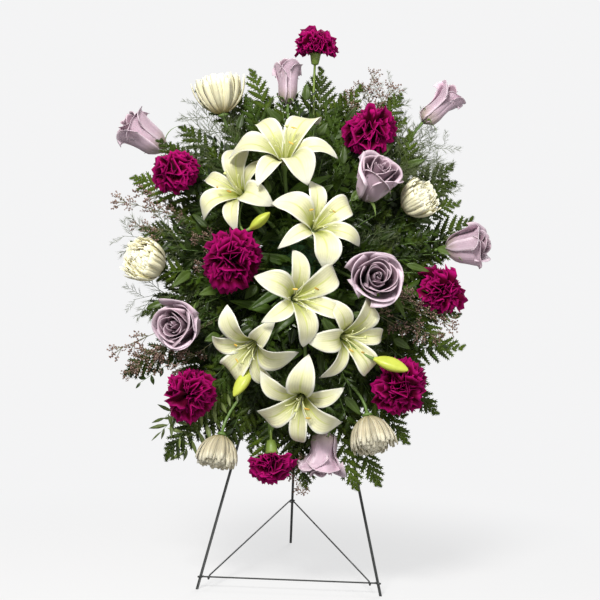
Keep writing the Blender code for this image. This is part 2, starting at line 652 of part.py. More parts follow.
ROSE_RINGS = (
    # a tall bud whose outer petals roll back at the lip, with the furled middle stepping up inside
    (0.05, 0.28, 0, 0.0),
    (0.20, 0.62, 0, 0.0),
    (0.70, 0.80, 3, 0.03),
    (1.45, 0.78, 3, 0.04),
    (1.72, 1.00, 5, 0.06),
    (1.80, 0.84, 5, 0.06),
    (1.52, 0.66, 0, 0.0),
    (1.78, 0.56, 3, 0.05),
    (1.56, 0.40, 0, 0.0),
    (1.84, 0.28, 3, 0.06),
)
CARNATION_RINGS = (
    # the green calyx tube, then ruffled petals in tiers
    (0.04, 0.16, 0, 0.0),
    (0.50, 0.20, 0, 0.0),
    (0.60, 0.64, 6, 0.06),
    (0.82, 1.00, 6, 0.08),
    (1.12, 0.98, 6, 0.09),
    (1.34, 0.84, 6, 0.10),
    (1.28, 0.66, 6, 0.10),
    (1.60, 0.58, 6, 0.12),
    (1.52, 0.40, 6, 0.12),
    (1.74, 0.28, 6, 0.16),
)
MUM_RINGS = (
    # a deep bowl of narrow petals round a full, domed top
    (0.05, 0.26, 0, 0.0),
    (0.22, 0.52, 0, 0.0),
    (0.65, 0.86, 6, 0.03),
    (1.20, 1.00, 6, 0.04),
    (1.62, 0.88, 6, 0.06),
    (1.86, 0.52, 6, 0.08),
)
ROSE = material("rose_petal", ROSE_LAVENDER, 0.6)
CARNATION = material("carnation_petal", CARNATION_PURPLE, 0.6)
MUM = material("mum_petal", MUM_WHITE, 0.6)
ROSES = {
    # socket (face, place), middle of the head, facing, radius of the head, height in radii
    "rose_top": (("top", -1), (-0.038, 0.324, 0.020), (-0.05, 0.99, 0.10), 0.027, 2.9),
    "rose_top_left": (("left", 3), (-0.284, 0.222, -0.020), (-0.80, 0.58, 0.16), 0.034, 2.6),
    "rose_top_right": (("right", 3), (0.231, 0.284, 0.015), (0.70, 0.70, 0.12), 0.026, 3.0),
    "rose_upper_right": (("front", (1, 2)), (0.115, 0.124, 0.085), (0.34, 0.56, 0.76), 0.038, 2.1),
    "rose_right": (("right", 1), (0.280, 0.032, 0.030), (0.95, 0.12, 0.28), 0.032, 2.4),
    "rose_centre_right": (("front", (1, 0)), (0.121, -0.053, 0.127), (0.12, 0.00, 0.99), 0.041, 1.7),
    "rose_left": (("left", -1), (-0.194, -0.130, 0.070), (-0.48, -0.10, 0.87), 0.041, 1.8),
    "rose_bottom": (("bottom", 1), (0.052, -0.336, 0.025), (-0.02, -0.95, 0.30), 0.030, 2.5),
}
CARNATIONS = {
    # socket (face, place), middle of the head, facing, radius of the head
    "carnation_top": (("top", 1), (0.011, 0.392, 0.000), (0.02, 0.96, 0.25), 0.036),
    "carnation_upper_right": (("top", 3), (0.110, 0.226, 0.045), (0.22, 0.40, 0.88), 0.041),
    "carnation_upper_left": (("left", 2), (-0.224, 0.140, 0.052), (-0.45, 0.25, 0.85), 0.037),
    "carnation_left": (("front", (-1, -1)), (-0.116, -0.024, 0.120), (-0.10, 0.05, 0.98), 0.046),
    "carnation_right": (("right", -1), (0.242, -0.048, 0.030), (0.60, -0.05, 0.78), 0.037),
    "carnation_lower_left": (("left", -3), (-0.178, -0.242, 0.050), (-0.30, -0.28, 0.90), 0.038),
    "carnation_lower_right": (("right", -3), (0.174, -0.222, 0.065), (0.32, -0.22, 0.90), 0.041),
    "carnation_bottom": (("bottom", -1), (-0.036, -0.352, 0.030), (0.05, -0.93, 0.35), 0.038),
}
MUMS = {
    # socket (face, place), middle of the head, facing, radius of the head
    "mum_top": (("top", -3), (-0.156, 0.290, 0.015), (-0.12, 0.96, 0.22), 0.043),
    "mum_left": (("left", 0), (-0.264, -0.018, 0.035), (-0.66, 0.20, 0.72), 0.042),
    "mum_right": (("right", 2), (0.194, 0.106, 0.045), (0.68, 0.34, 0.64), 0.038),
    "mum_bottom_left": (("bottom", -3), (-0.127, -0.336, 0.025), (-0.14, -0.90, 0.40), 0.037),
    "mum_bottom_right": (("bottom", 3), (0.126, -0.300, 0.050), (0.14, -0.86, 0.48), 0.041),
}
KINDS = (
    # table, rings, stem radius, material
    (ROSES, ROSE_RINGS, 0.0028, ROSE),
    (CARNATIONS, CARNATION_RINGS, 0.0022, CARNATION),
    (MUMS, MUM_RINGS, 0.0028, MUM),
)
for table, rings, stem_radius, finish in KINDS:
    for bloom_name, ((face, place), middle, facing, size, *tall) in table.items():
        head(bloom_name, socket(face, place), middle, facing, size, rings, stem_radius, finish, *tall)

# ---------------------------------------------------------------- fern fronds and filler sprigs
FERN = material("fern", FERN_GREEN, 0.55)
FILLER = material("filler", FILLER_BROWN, 0.6)
FROND_STEM = 0.0016
# Each is a row of places along a leaflet or a twig: share of its reach, and half width in pitches.
FERN_LEAFLET = ((0.30, 0.40), (0.68, 0.27), (1.0, 0.03))
FILLER_TWIG = ((0.55, 0.05), (0.78, 0.20), (1.0, 0.10))


def frond(name, hole, base, tip, width, bend, pairs, outline, finish, leaves=()):
    """One frond: a stem from the foam, and a tapering row of paired leaflets, or twigs, along it. leaves
    are the short side fronds that its stem sends forward between the blooms."""
    base, tip = spray_point(*base), spray_point(*tip)
    along = (tip - base).normalized()
    flat = (FACING - along * FACING.dot(along)).normalized()
    sideways = flat.cross(along)
    shoot = start_stem(
        hole, base, along, sideways + flat, FROND_STEM, 4, 3, 0.35, leaves, TOOTHED_FROND
    )
    pitch = (tip - base).length / (pairs + 0.6)
    pieces = []
    for i in range(1, pairs + 1):
        share = i / (pairs + 0.6)
        centre = base.lerp(tip, share) - flat * bend * share * share
        sides = shoot.grow(frame_along(centre, along, sideways + flat), FROND_STEM * (1.1 - 0.5 * share))
        for side in (-1.0, 1.0):
            pieces.append((max(sides, key=lambda f: side * f.normal.dot(sideways)), side, share))
    shoot.grow(frame_along(tip - flat * bend, along, sideways + flat), 0.0005)
    for face, side, share in pieces:
        fullness = math.sin(math.pi * (0.18 + 0.74 * share)) ** 0.8
        reach = width * fullness * (1.05 - 0.45 * share)
        direction = (sideways * side * 0.86 + along * 0.5).normalized()
        fore = (along - direction * along.dot(direction)).normalized()
        root = face.calc_center_median()
        for out, half in outline:
            face = bmesh.ops.extrude_discrete_faces(shoot.bm, faces=[face])["faces"][0]
            place = root + direction * reach * out - flat * 0.10 * reach * out * out
            for rank, corner in enumerate(sorted(face.verts, key=lambda c: c.co.dot(along))):
                above = 1.0 if (corner.co - root).dot(flat) > 0 else -1.0
                ahead = 1.0 if rank > 1 else -1.0
                corner.co = place + fore * ahead * half * pitch + flat * above * LEAF_THICKNESS / 2.0
    return finished(name, shoot.bm, finish)


SIDE_FROND_HALF = 0.015
SIDE_FRONDS = {
    # share of the stem where each starts, then the turn, reach and rise of the short frond that comes
    # forward from there between the blooms
    "top": ((0.40, 52.0, 0.120, 0.055),),
    "top_left": ((0.25, 100.0, 0.120, 0.045), (0.55, 150.0, 0.120, 0.070)),
    "top_right": ((0.40, 30.0, 0.115, 0.065),),
    "upper_left": ((0.25, 116.0, 0.120, 0.060), (0.55, 140.0, 0.120, 0.050)),
    "upper_right": ((0.25, 60.0, 0.120, 0.060), (0.55, 85.0, 0.110, 0.070)),
    "left": ((0.25, 155.0, 0.120, 0.045), (0.55, 190.0, 0.115, 0.065)),
    "right": ((0.25, 345.0, 0.115, 0.055), (0.55, 24.0, 0.120, 0.060)),
    "lower_left": ((0.40, 170.0, 0.110, 0.070),),
    "lower_right": ((0.25, 325.0, 0.120, 0.050), (0.55, 302.0, 0.120, 0.070)),
    "bottom_left": ((0.25, 206.0, 0.110, 0.045), (0.55, 256.0, 0.120, 0.070)),
    "bottom_right": ((0.25, 325.0, 0.120, 0.045), (0.55, 357.0, 0.120, 0.070)),
    "bottom": ((0.40, 262.0, 0.120, 0.055),),
    "under_left": ((0.25, 295.0, 0.115, 0.075), (0.55, 195.0, 0.120, 0.060)),
    "under_right": ((0.25, 330.0, 0.110, 0.060), (0.55, 345.0, 0.110, 0.070)),
}


def ring_of_fronds():
    """Fronds fanned round the block's edge in two layers, so that no two meet."""
    fan = (
        # name, socket, layer, angle from +u in degrees, reach from the middle, width
        ("top", ("top", 1), 1, 88.0, 0.350, 0.072),
        ("top_left", ("top", -3), 2, 112.0, 0.345, 0.066),
        ("top_right", ("top", 3), 2, 62.0, 0.335, 0.070),
        ("upper_left", ("left", 3), 1, 140.0, 0.310, 0.072),
        ("upper_right", ("right", 3), 1, 38.0, 0.315, 0.072),
        ("left", ("left", 1), 2, 168.0, 0.285, 0.068),
        ("right", ("right", 1), 2, 12.0, 0.285, 0.068),
        ("lower_left", ("left", -1), 1, 197.0, 0.285, 0.072),
        ("lower_right", ("right", -1), 1, 343.0, 0.285, 0.072),
        ("bottom_left", ("left", -3), 2, 226.0, 0.320, 0.070),
        ("bottom_right", ("right", -3), 2, 313.0, 0.320, 0.070),
        ("bottom", ("bottom", 1), 2, 268.0, 0.352, 0.072),
        ("under_left", ("bottom", -3), 1, 247.0, 0.330, 0.062),
        ("under_right", ("bottom", 3), 1, 291.0, 0.345, 0.062),
    )
    for name, (face, place), layer, angle, reach, width in fan:
        hole = socket(face, place, layer)
        way = Vector((math.cos(math.radians(angle)), math.sin(math.radians(angle)), 0.0))
        depth = FOAM_LAYERS[layer]
        start = hole[0] + hole[1] * 0.020
        start = start.lerp(Vector((way.x * 0.14, way.y * 0.16, depth)), 0.55)
        end = Vector((way.x * reach, way.y * reach, depth + 0.004))
        side_fronds = [(*side_frond, SIDE_FROND_HALF) for side_frond in SIDE_FRONDS[name]]
        frond("fern_" + name, hole, start, end, width, 0.006, 6, FERN_LEAFLET, FERN, side_fronds)


ring_of_fronds()

FILLERS = {
    # socket (face, place, layer), start of the twigs, tip, reach of the twigs
    "limonium_top": (("top", 3, 1), (0.060, 0.190, -0.020), (0.135, 0.335, -0.010), 0.045),
    "limonium_left": (("left", 1, 0), (-0.170, 0.050, -0.012), (-0.312, 0.085, 0.000), 0.045),
    "limonium_lower_left": (("left", -2, 0), (-0.170, -0.130, -0.012), (-0.305, -0.200, 0.000), 0.045),
    "plumosus_upper_right": (("right", 2, 1), (0.150, 0.150, -0.020), (0.262, 0.215, -0.010), 0.055),
}
for filler_name, (place, start, end, reach) in FILLERS.items():
    frond(filler_name, socket(*place), start, end, reach, 0.004, 4, FILLER_TWIG, FILLER)

# ---------------------------------------------------------------- the foam block, last of all
def foam():
    """The foam block, with a round hole for every stem."""
    block = box(
        "foam_block",
        (-FOAM_HALF_WIDTH, -FOAM_HALF_HEIGHT, -FOAM_THICKNESS),
        (FOAM_HALF_WIDTH, FOAM_HALF_HEIGHT, 0.0),
        material("foam", FOAM_GREEN, 0.95),
    )
    bm = bmesh.new()
    for mouth, outward, depth, radius in HOLES:
        length = depth + TOUCH + 0.004
        middle = mouth + outward * (0.004 - length / 2.0)
        wide = radius * 1.16 + TOUCH
        bmesh.ops.create_cone(
            bm, cap_ends=True, segments=6, radius1=wide, radius2=wide, depth=length,
            matrix=frame_along(middle, outward, ACROSS + CLIMB),
        )
    boolean(block, "DIFFERENCE", [finished("stem_holes", bm, MATERIALS["foam"])])


foam()
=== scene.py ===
import math
import random

import bmesh
import bpy
from mathutils import Matrix, Vector, noise


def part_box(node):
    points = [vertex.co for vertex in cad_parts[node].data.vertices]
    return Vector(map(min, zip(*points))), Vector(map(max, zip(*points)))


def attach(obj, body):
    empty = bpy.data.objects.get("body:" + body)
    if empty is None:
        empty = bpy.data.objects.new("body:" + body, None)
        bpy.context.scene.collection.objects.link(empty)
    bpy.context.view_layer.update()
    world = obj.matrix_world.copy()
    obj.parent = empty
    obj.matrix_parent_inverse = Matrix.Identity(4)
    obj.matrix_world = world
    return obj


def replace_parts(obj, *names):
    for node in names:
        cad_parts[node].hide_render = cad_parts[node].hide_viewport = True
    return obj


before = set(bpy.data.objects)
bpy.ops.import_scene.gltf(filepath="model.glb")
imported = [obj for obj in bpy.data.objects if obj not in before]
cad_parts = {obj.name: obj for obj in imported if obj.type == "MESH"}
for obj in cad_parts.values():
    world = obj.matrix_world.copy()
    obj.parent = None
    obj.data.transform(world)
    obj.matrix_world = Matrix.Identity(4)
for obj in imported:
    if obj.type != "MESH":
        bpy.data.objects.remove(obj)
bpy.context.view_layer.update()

bpy.context.scene.view_settings.view_transform = "Standard"

# ================================================================ camera, floor and light
# The arrangement stands in a pale studio: a wide matt floor that fades into a pale surround, a big soft
# lamp high on the left of the camera and weaker ones that open the shadows.
EYE = Vector((0.008, -2.668, 0.638))
LOOKING_DOWN = 3.0
ROLL = 2.2
LENS = 90.0
FLOOR_RADIUS = 40.0
FLOOR_PALE = (0.80, 0.80, 0.80)
MATT_WITHIN, GLOWS_BEYOND = 0.30, 0.95  # metres from the middle of the floor
LEAST_GLOW = 0.66
SURROUND = (0.905, 0.905, 0.91)
CAST_SHARE = 0.32  # the surround's light on the arrangement, as a share of what it looks like
LAMPS_AIM = (0.0, -0.1, 0.6)
LAMPS = (
    # name, place, diameter, power, colour
    ("key_lamp", (-0.8, -2.6, 2.6), 1.0, 132.0, (1.0, 0.985, 0.96)),
    ("fill_lamp", (1.6, -2.6, 0.7), 1.4, 22.0, (1.0, 1.0, 1.0)),
    ("back_lamp", (0.6, 2.4, 2.6), 1.4, 45.0, (1.0, 1.0, 1.0)),
)


class Nodes:
    """A node tree in the making. Each call adds one node and hands back its output."""

    def __init__(self, tree):
        self.tree = tree

    def feed(self, socket, source):
        """Links an output, or sets a plain value, into a socket."""
        if isinstance(source, bpy.types.NodeSocket):
            self.tree.links.new(source, socket)
        elif isinstance(source, tuple) and len(source) == 3 and socket.type == "RGBA":
            socket.default_value = (*source, 1.0)
        else:
            socket.default_value = source

    def feed_all(self, node, values):
        for key, value in values.items():
            self.feed(node.inputs[key.replace("_", " ")], value)

    def add(self, kind, output, settings=None, **values):
        made = self.tree.nodes.new(kind)
        for key, value in (settings or {}).items():
            setattr(made, key, value)
        self.feed_all(made, values)
        return made.outputs[output]

    def place(self):
        return self.add("ShaderNodeTexCoord", "Object")

    def maths(self, operation, first, second=0.0, clamp=False):
        made = self.tree.nodes.new("ShaderNodeMath")
        made.operation = operation
        made.use_clamp = clamp
        self.feed(made.inputs[0], first)
        self.feed(made.inputs[1], second)
        return made.outputs[0]

    def times(self, first, second):
        return self.maths("MULTIPLY", first, second)

    def plus(self, first, second, clamp=False):
        return self.maths("ADD", first, second, clamp)

    def minus(self, first, second):
        return self.maths("SUBTRACT", first, second)

    def speckle(self, scale, detail=3.0, roughness=0.5):
        place = self.place()
        return self.add(
            "ShaderNodeTexNoise", "Fac", Vector=place, Scale=scale, Detail=detail, Roughness=roughness
        )

    def mix(self, share, first, second, how="MIX"):
        made = self.tree.nodes.new("ShaderNodeMix")
        made.data_type = "RGBA"
        made.blend_type = how
        self.feed(made.inputs[0], share)
        self.feed(made.inputs[6], first)
        self.feed(made.inputs[7], second)
        return made.outputs[2]

    def ease(self, value, low, high, to_low=0.0, to_high=1.0):
        """Runs smoothly from to_low to to_high as value goes from low to high."""
        return self.add(
            "ShaderNodeMapRange", "Result", {"interpolation_type": "SMOOTHSTEP"}, Value=value,
            From_Min=low, From_Max=high, To_Min=to_low, To_Max=to_high,
        )

    def grey(self, value):
        made = self.tree.nodes.new("ShaderNodeCombineColor")
        for socket in made.inputs[:3]:
            self.feed(socket, value)
        return made.outputs[0]

    def uv(self):
        """How far across and how far along a petal or a leaf, each from 0 to 1."""
        place = self.add("ShaderNodeUVMap", "UV", {"uv_map": "UVMap"})
        made = self.tree.nodes.new("ShaderNodeSeparateXYZ")
        self.feed(made.inputs[0], place)
        return made.outputs[:2]

    def shade(self):
        """The shade that each point of a mesh carries."""
        return self.add("ShaderNodeAttribute", "Fac", {"attribute_name": "shade"})


class Finish(Nodes):
    """One procedural material round a Principled shader."""

    def __init__(self, name, roughness):
        self.material = bpy.data.materials.new(name)
        self.material.use_nodes = True
        super().__init__(self.material.node_tree)
        self.shader = self.tree.nodes["Principled BSDF"]
        self.rough(roughness)

    def bump(self, height, distance, strength=1.0):
        normal = self.add("ShaderNodeBump", "Normal", Height=height, Distance=distance, Strength=strength)
        self.feed(self.shader.inputs["Normal"], normal)

    def colour(self, source):
        self.feed(self.shader.inputs["Base Color"], source)

    def rough(self, source):
        self.feed(self.shader.inputs["Roughness"], source)

    def set(self, **values):
        self.feed_all(self.shader, values)

    def wear(self, skin, relief, **values):
        """Feeds a skin that many finishes share, and takes its colour and its height."""
        made = self.tree.nodes.new("ShaderNodeGroup")
        made.node_tree = skin
        self.feed_all(made, values)
        self.worn = made.outputs
        self.colour(self.worn["Color"])
        self.bump(self.worn["Height"], 0.0004, relief)


def as_mesh(name, bm):
    mesh = bpy.data.meshes.new(name)
    bm.to_mesh(mesh)
    bm.free()
    return mesh


def link(name, data):
    """Puts new data in the scene as an object of that name."""
    made = bpy.data.objects.new(name, data)
    bpy.context.scene.collection.objects.link(made)
    return made


def studio_camera():
    lens = bpy.data.cameras.new("studio_camera")
    lens.lens = LENS
    lens.sensor_width = 36.0
    camera = link("studio_camera", lens)
    tilt = Matrix.Rotation(math.radians(90.0 - LOOKING_DOWN), 4, "X")
    camera.matrix_world = Matrix.Translation(EYE) @ tilt @ Matrix.Rotation(math.radians(ROLL), 4, "Z")
    bpy.context.scene.camera = camera


def soft_lamp(name, place, size, power, colour):
    data = bpy.data.lights.new(name, "AREA")
    data.shape = "DISK"
    data.size = size
    data.energy = power
    data.color = colour
    lamp = link(name, data)
    lamp.location = place
    lamp.rotation_euler = (Vector(LAMPS_AIM) - Vector(place)).to_track_quat("-Z", "Y").to_euler()


def seen_only(nodes):
    """Full brightness for what the camera sees directly, and a lower one for the light it casts."""
    direct = nodes.add("ShaderNodeLightPath", "Is Camera Ray")
    return nodes.add("ShaderNodeMapRange", "Result", Value=direct, To_Min=CAST_SHARE, To_Max=1.0)


def studio_floor():
    """A round floor, matt under the easel and glowing like the surround further out."""
    bm = bmesh.new()
    bmesh.ops.create_circle(bm, cap_ends=True, segments=96, radius=FLOOR_RADIUS)
    mesh = as_mesh("studio_floor", bm)
    f = Finish("studio_floor", 0.9)
    f.colour(FLOOR_PALE)
    glow = f.add("ShaderNodeEmission", "Emission", Color=SURROUND, Strength=seen_only(f))
    far = f.add("ShaderNodeVectorMath", "Value", {"operation": "LENGTH"}, Vector=f.place())
    fade = f.ease(far, MATT_WITHIN, GLOWS_BEYOND, LEAST_GLOW)
    blend = f.tree.nodes.new("ShaderNodeMixShader")
    for socket, source in zip(blend.inputs, (fade, f.shader.outputs["BSDF"], glow)):
        f.feed(socket, source)
    f.feed(f.tree.nodes["Material Output"].inputs["Surface"], blend.outputs["Shader"])
    mesh.materials.append(f.material)
    link("studio_floor", mesh)


def studio_light():
    world = bpy.data.worlds.new("studio_surround")
    bpy.context.scene.world = world
    world.use_nodes = True
    nodes = Nodes(world.node_tree)
    surround = world.node_tree.nodes["Background"]
    nodes.feed_all(surround, {"Color": SURROUND, "Strength": seen_only(nodes)})
    for settings in LAMPS:
        soft_lamp(*settings)


studio_camera()
studio_floor()
studio_light()


# ================================================================ easel
# A folding easel of bent steel wire, dipped in dark paint: two front legs, a rear leg, a rivet through
# their eyes, a crossbar round the front legs and a two-part brace that hooks behind the rear leg.
PAINT_DARK = (0.028, 0.031, 0.030)
PAINT_WORN = (0.13, 0.135, 0.13)
BARE_STEEL = (0.30, 0.29, 0.28)


def painted_wire():
    """Dark dipped paint, slightly uneven, rubbed to a lighter grey here and there."""
    f = Finish("painted_wire", 0.42)
    runs = f.speckle(60.0, 4.0)
    rubbed = f.ease(f.speckle(23.0, 6.0, 0.7), 0.58, 0.72)
    scraped = f.ease(f.speckle(140.0, 5.0, 0.75), 0.70, 0.76)
    paint = f.mix(f.times(rubbed, 0.45), PAINT_DARK, PAINT_WORN)
    f.colour(f.mix(scraped, paint, BARE_STEEL))
    f.rough(f.ease(f.speckle(90.0), 0.3, 0.7, 0.34, 0.58))
    f.set(Metallic=f.times(scraped, 0.8), Coat_Weight=0.15)
    f.bump(runs, 0.0004, 0.5)
    return f.material


def refinish(material, *names):
    """Gives CAD nodes that stay as they are their own finish."""
    for name in names:
        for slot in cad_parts[name].material_slots:
            slot.material = material


WIRES = ("front_leg_left", "front_leg_right", "rear_leg", "front_crossbar", "brace_left", "brace_right")
refinish(painted_wire(), *WIRES, "pivot_pin")


# ================================================================ holder
# A brick of wet floral foam in a moulded green cage, tied to the front legs with four black cable
# ties. The foam is crumbly and darker where it is wet; the cage is satin polypropylene.
FOAM_WET = (0.022, 0.075, 0.028)
FOAM_DRY = (0.075, 0.18, 0.065)
FOAM_PORE = (0.012, 0.04, 0.014)
CAGE_GREEN = (0.020, 0.085, 0.032)
CAGE_LIGHT = 1.6
TIE_BLACK = (0.012, 0.012, 0.013)
TIE_GREY = (0.03, 0.03, 0.032)


def wet_foam():
    f = Finish("wet_foam", 0.9)
    damp = f.ease(f.speckle(18.0, 3.0), 0.35, 0.65)
    cells = f.add("ShaderNodeTexVoronoi", "Distance", Vector=f.place(), Scale=900.0)
    colour = f.mix(damp, FOAM_WET, FOAM_DRY)
    f.colour(f.mix(f.ease(cells, 0.2, 0.7, 0.0, 0.5), colour, FOAM_PORE))
    f.rough(f.ease(damp, 0.0, 1.0, 0.6, 0.95))
    f.bump(f.plus(cells, f.speckle(240.0, 4.0)), 0.0008)
    return f.material


def moulded_cage():
    f = Finish("moulded_cage", 0.4)
    shade = f.speckle(35.0, 2.0)
    f.colour(f.mix(shade, CAGE_GREEN, tuple(c * CAGE_LIGHT for c in CAGE_GREEN)))
    f.rough(f.ease(f.speckle(420.0, 2.0), 0.3, 0.7, 0.32, 0.5))
    f.bump(f.speckle(700.0, 2.0), 0.0002, 0.6)
    return f.material


def tie_nylon():
    f = Finish("tie_nylon", 0.35)
    ribs = f.add("ShaderNodeTexWave", "Fac", Vector=f.place(), Scale=260.0)
    f.colour(f.mix(f.speckle(90.0), TIE_BLACK, TIE_GREY))
    f.rough(f.ease(ribs, 0.0, 1.0, 0.28, 0.5))
    f.bump(ribs, 0.0002, 0.7)
    return f.material


refinish(wet_foam(), "foam_block")
refinish(moulded_cage(), "cage_tray", "cage_cover")
refinish(tie_nylon(), "tie_lower_left", "tie_lower_right", "tie_upper_left", "tie_upper_right")


# ================================================================ lilies
# Seven open oriental lilies, each one stem with six tepals in two whorls, six stamens and a pistil.
# The three inner tepals are broad, the outer ones narrow; all have a green-yellow channel at the base.
LEAN = math.radians(14.0)
FACING = Vector((0.0, -math.cos(LEAN), math.sin(LEAN)))
CLIMB = Vector((0.0, math.sin(LEAN), math.cos(LEAN)))
ACROSS = Vector((1.0, 0.0, 0.0))
FOAM_LOW, FOAM_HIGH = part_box("foam_block")
FOAM_HALF = Vector((0.056, 0.118, 0.040))
HOLE_PITCH = 0.022  # on the foam's front and sides
END_PITCH = 0.015  # on its top and bottom
EDGE_ROWS = (-0.013, -0.040, -0.066)  # heights of the rows of holes in its edges
IN_FOAM = 0.010  # how far into the foam a stem is seen
STEM_PULL = 0.45  # how straight a stem leaves its hole, as a share of its reach
# The spray's own frame: u across, v up along the lean, w out towards the viewer, from the middle of
# the foam's front face.
FOAM_FACE = (FOAM_LOW + FOAM_HIGH) / 2.0 + FACING * FOAM_HALF.z
SPRAY = Matrix.Translation(FOAM_FACE) @ Matrix((ACROSS, CLIMB, FACING)).transposed().to_4x4()
LILIES = {
    # hole in the foam's face, place of the throat, facing, reach of a tepal, turn, cup
    "lily_top": ((-1, 3), (-0.035, 0.150, 0.108), (-0.03, 0.54, 0.84), 0.094, 36.0, 1.0),
    "lily_upper_left": ((-1, 1), (-0.107, 0.094, 0.092), (-0.46, 0.22, 0.86), 0.080, 60.0, 0.95),
    "lily_upper_right": ((0, 2), (0.020, 0.029, 0.132), (0.33, 0.20, 0.92), 0.082, 10.0, 1.0),
    "lily_centre": ((0, 0), (-0.008, -0.094, 0.152), (0.40, -0.08, 0.90), 0.080, 6.0, 1.0),
    "lily_lower_left": ((-1, -2), (-0.072, -0.162, 0.104), (-0.44, -0.63, 0.64), 0.080, -30.0, 1.0),
    "lily_lower_right": ((1, -2), (0.074, -0.146, 0.103), (0.54, -0.26, 0.80), 0.079, 30.0, 1.0),
    "lily_bottom": ((0, -3), (0.008, -0.246, 0.083), (-0.15, -0.61, 0.78), 0.082, 60.0, 1.0),
}
LILY_BUDS = {
    # bottom of the bud, the way it points, its length
    "lily_upper_left": ((-0.086, 0.026, 0.125), (0.72, 0.58, 0.30), 0.042),
    "lily_lower_left": ((-0.076, -0.206, 0.092), (-0.50, -0.84, 0.10), 0.052),
    "lily_lower_right": ((0.128, -0.182, 0.105), (0.95, -0.30, 0.10), 0.056),
}
# The leaves on each lily's stem: where they start as shares of its length, then which way each points
# in degrees from +u and how far.
LILY_LEAF_STARTS = (0.22, 0.42, 0.62)
LILY_LEAVES = {
    "lily_top": ((60, 0.095), (150, 0.090), (25, 0.085)),
    "lily_upper_left": ((170, 0.095), (215, 0.085), (125, 0.080)),
    "lily_upper_right": ((40, 0.090), (5, 0.090), (325, 0.080)),
    "lily_centre": ((170, 0.085), (335, 0.085), (215, 0.075)),
    "lily_lower_left": ((205, 0.095), (240, 0.090), (170, 0.080)),
    "lily_lower_right": ((345, 0.095), (10, 0.085), (305, 0.085)),
    "lily_bottom": ((225, 0.090), (300, 0.090), (200, 0.085)),
}
LILY_DEPTH = 0.030  # from the place of the throat to the end of the bare stem
THROAT_RISE = 0.022
LILY_STEM = 0.0032
LILY_STEM_STEPS = 16
# Round forms as (height, radius): the swelling under a lily, in metres, and its bud, in lengths.
LILY_SWELL = ((0.008, 0.0042), (0.015, 0.0062), (0.021, 0.0052), (0.024, 0.0035))
BUD_FORM = (
    (-0.10, 0.05), (0.0, 0.075), (0.08, 0.125), (0.22, 0.185), (0.42, 0.215), (0.62, 0.200),
    (0.80, 0.145), (0.92, 0.085), (0.985, 0.035), (1.0, 0.010),
)
PISTIL_KNOB = ((-0.001, 0.0012), (0.001, 0.0028), (0.003, 0.0030), (0.0038, 0.0012))
ANTHER_GRAIN = ((-0.005, 0.0005), (-0.0035, 0.0013), (0.0, 0.0016), (0.0035, 0.0013), (0.005, 0.0005))
BARE_TIP = ((-0.0005, 0.0008), (0.0008, 0.0012), (0.0018, 0.0004))
LILY_LEAF_HALF = 0.0095
LEAF_THICKNESS = TEPAL_THICKNESS = 0.0007
STEM_GREEN = (0.085, 0.165, 0.030)
STEM_PALE = (0.20, 0.30, 0.075)
LEAF_RIB = (0.10, 0.15, 0.04)


def in_spray(u, v, w):
    return SPRAY @ Vector((u, v, w))


def aim(u, v, w):
    return (SPRAY.to_3x3() @ Vector((u, v, w))).normalized()


def level_way(angle):
    """A direction along the spray, so far round from +u."""
    return ACROSS * math.cos(angle) + CLIMB * math.sin(angle)


def up(z):
    """A move along a frame's own z."""
    return Matrix.Translation((0.0, 0.0, z))


def spin(angle, axis):
    return Matrix.Rotation(angle, 4, axis)


def frame_on(point, direction, side):
    """A frame at point whose z is direction and whose x is as near side as it can be."""
    z = direction.normalized()
    x = (side - z * side.dot(z)).normalized()
    return Matrix.Translation(point) @ Matrix((x, z.cross(x), z)).transposed().to_4x4()


def frames_along(points, side=Vector((0.31, 0.17, 0.93))):
    """Frames on a path, each turned from the one before by as little as the bend needs. side is any
    direction that the path doesn't start in."""
    frames = []
    for i, point in enumerate(points):
        ahead = points[min(i + 1, len(points) - 1)] - points[max(i - 1, 0)]
        frames.append(frame_on(point, ahead, side))
        side = frames[-1].to_3x3() @ ACROSS
    return frames


def curve_through(start, first, second, end, steps):
    """Points on a cubic curve with these two control points."""
    return [
        start * (1 - t) ** 3 + first * 3 * t * (1 - t) ** 2 + second * 3 * t * t * (1 - t) + end * t**3
        for t in (i / steps for i in range(steps + 1))
    ]


def new_growth():
    """An empty mesh that carries a UV map and a shade for each point."""
    bm = bmesh.new()
    bm.loops.layers.uv.new("UVMap")
    bm.verts.layers.float.new("shade")
    return bm


def cone(bm, sides, foot, tip, depth, place=Matrix()):
    """A closed cone or cylinder with its middle on a frame."""
    return bmesh.ops.create_cone(
        bm, cap_ends=True, segments=sides, radius1=foot, radius2=tip, depth=depth, matrix=place
    )["verts"]


def tint(bm, verts, shade):
    """Gives these points their shade, which the finishes read."""
    tone = bm.verts.layers.float["shade"]
    for vert in verts:
        vert[tone] = shade


def stalk(bm, frames, radii, sides, shade=0.5, waves=0, depth=0.0):
    """A stalk grown ring by ring through frames and closed at both ends. waves and depth flute it."""
    made = cone(bm, sides, 1.0, 1.0, 1.0)
    tone = bm.verts.layers.float["shade"]
    walls = {face for vert in made for face in vert.link_faces}
    foot = next(face for face in walls if all(vert.co.z < 0.0 for vert in face.verts))
    tip = next(face for face in walls if all(vert.co.z > 0.0 for vert in face.verts))
    for index, (place, radius) in enumerate(zip(frames, radii)):
        ring = tip if index else foot
        if index < 2:
            turns = [math.atan2(vert.co.y, vert.co.x) for vert in ring.verts]
        else:
            ring = tip = bmesh.ops.extrude_discrete_faces(bm, faces=[tip])["faces"][0]
        for vert, turn in zip(ring.verts, turns):
            out = radius * (1.0 + depth * math.cos(waves * turn))
            vert.co = place @ Vector((out * math.cos(turn), out * math.sin(turn), 0.0))
            vert[tone] = shade


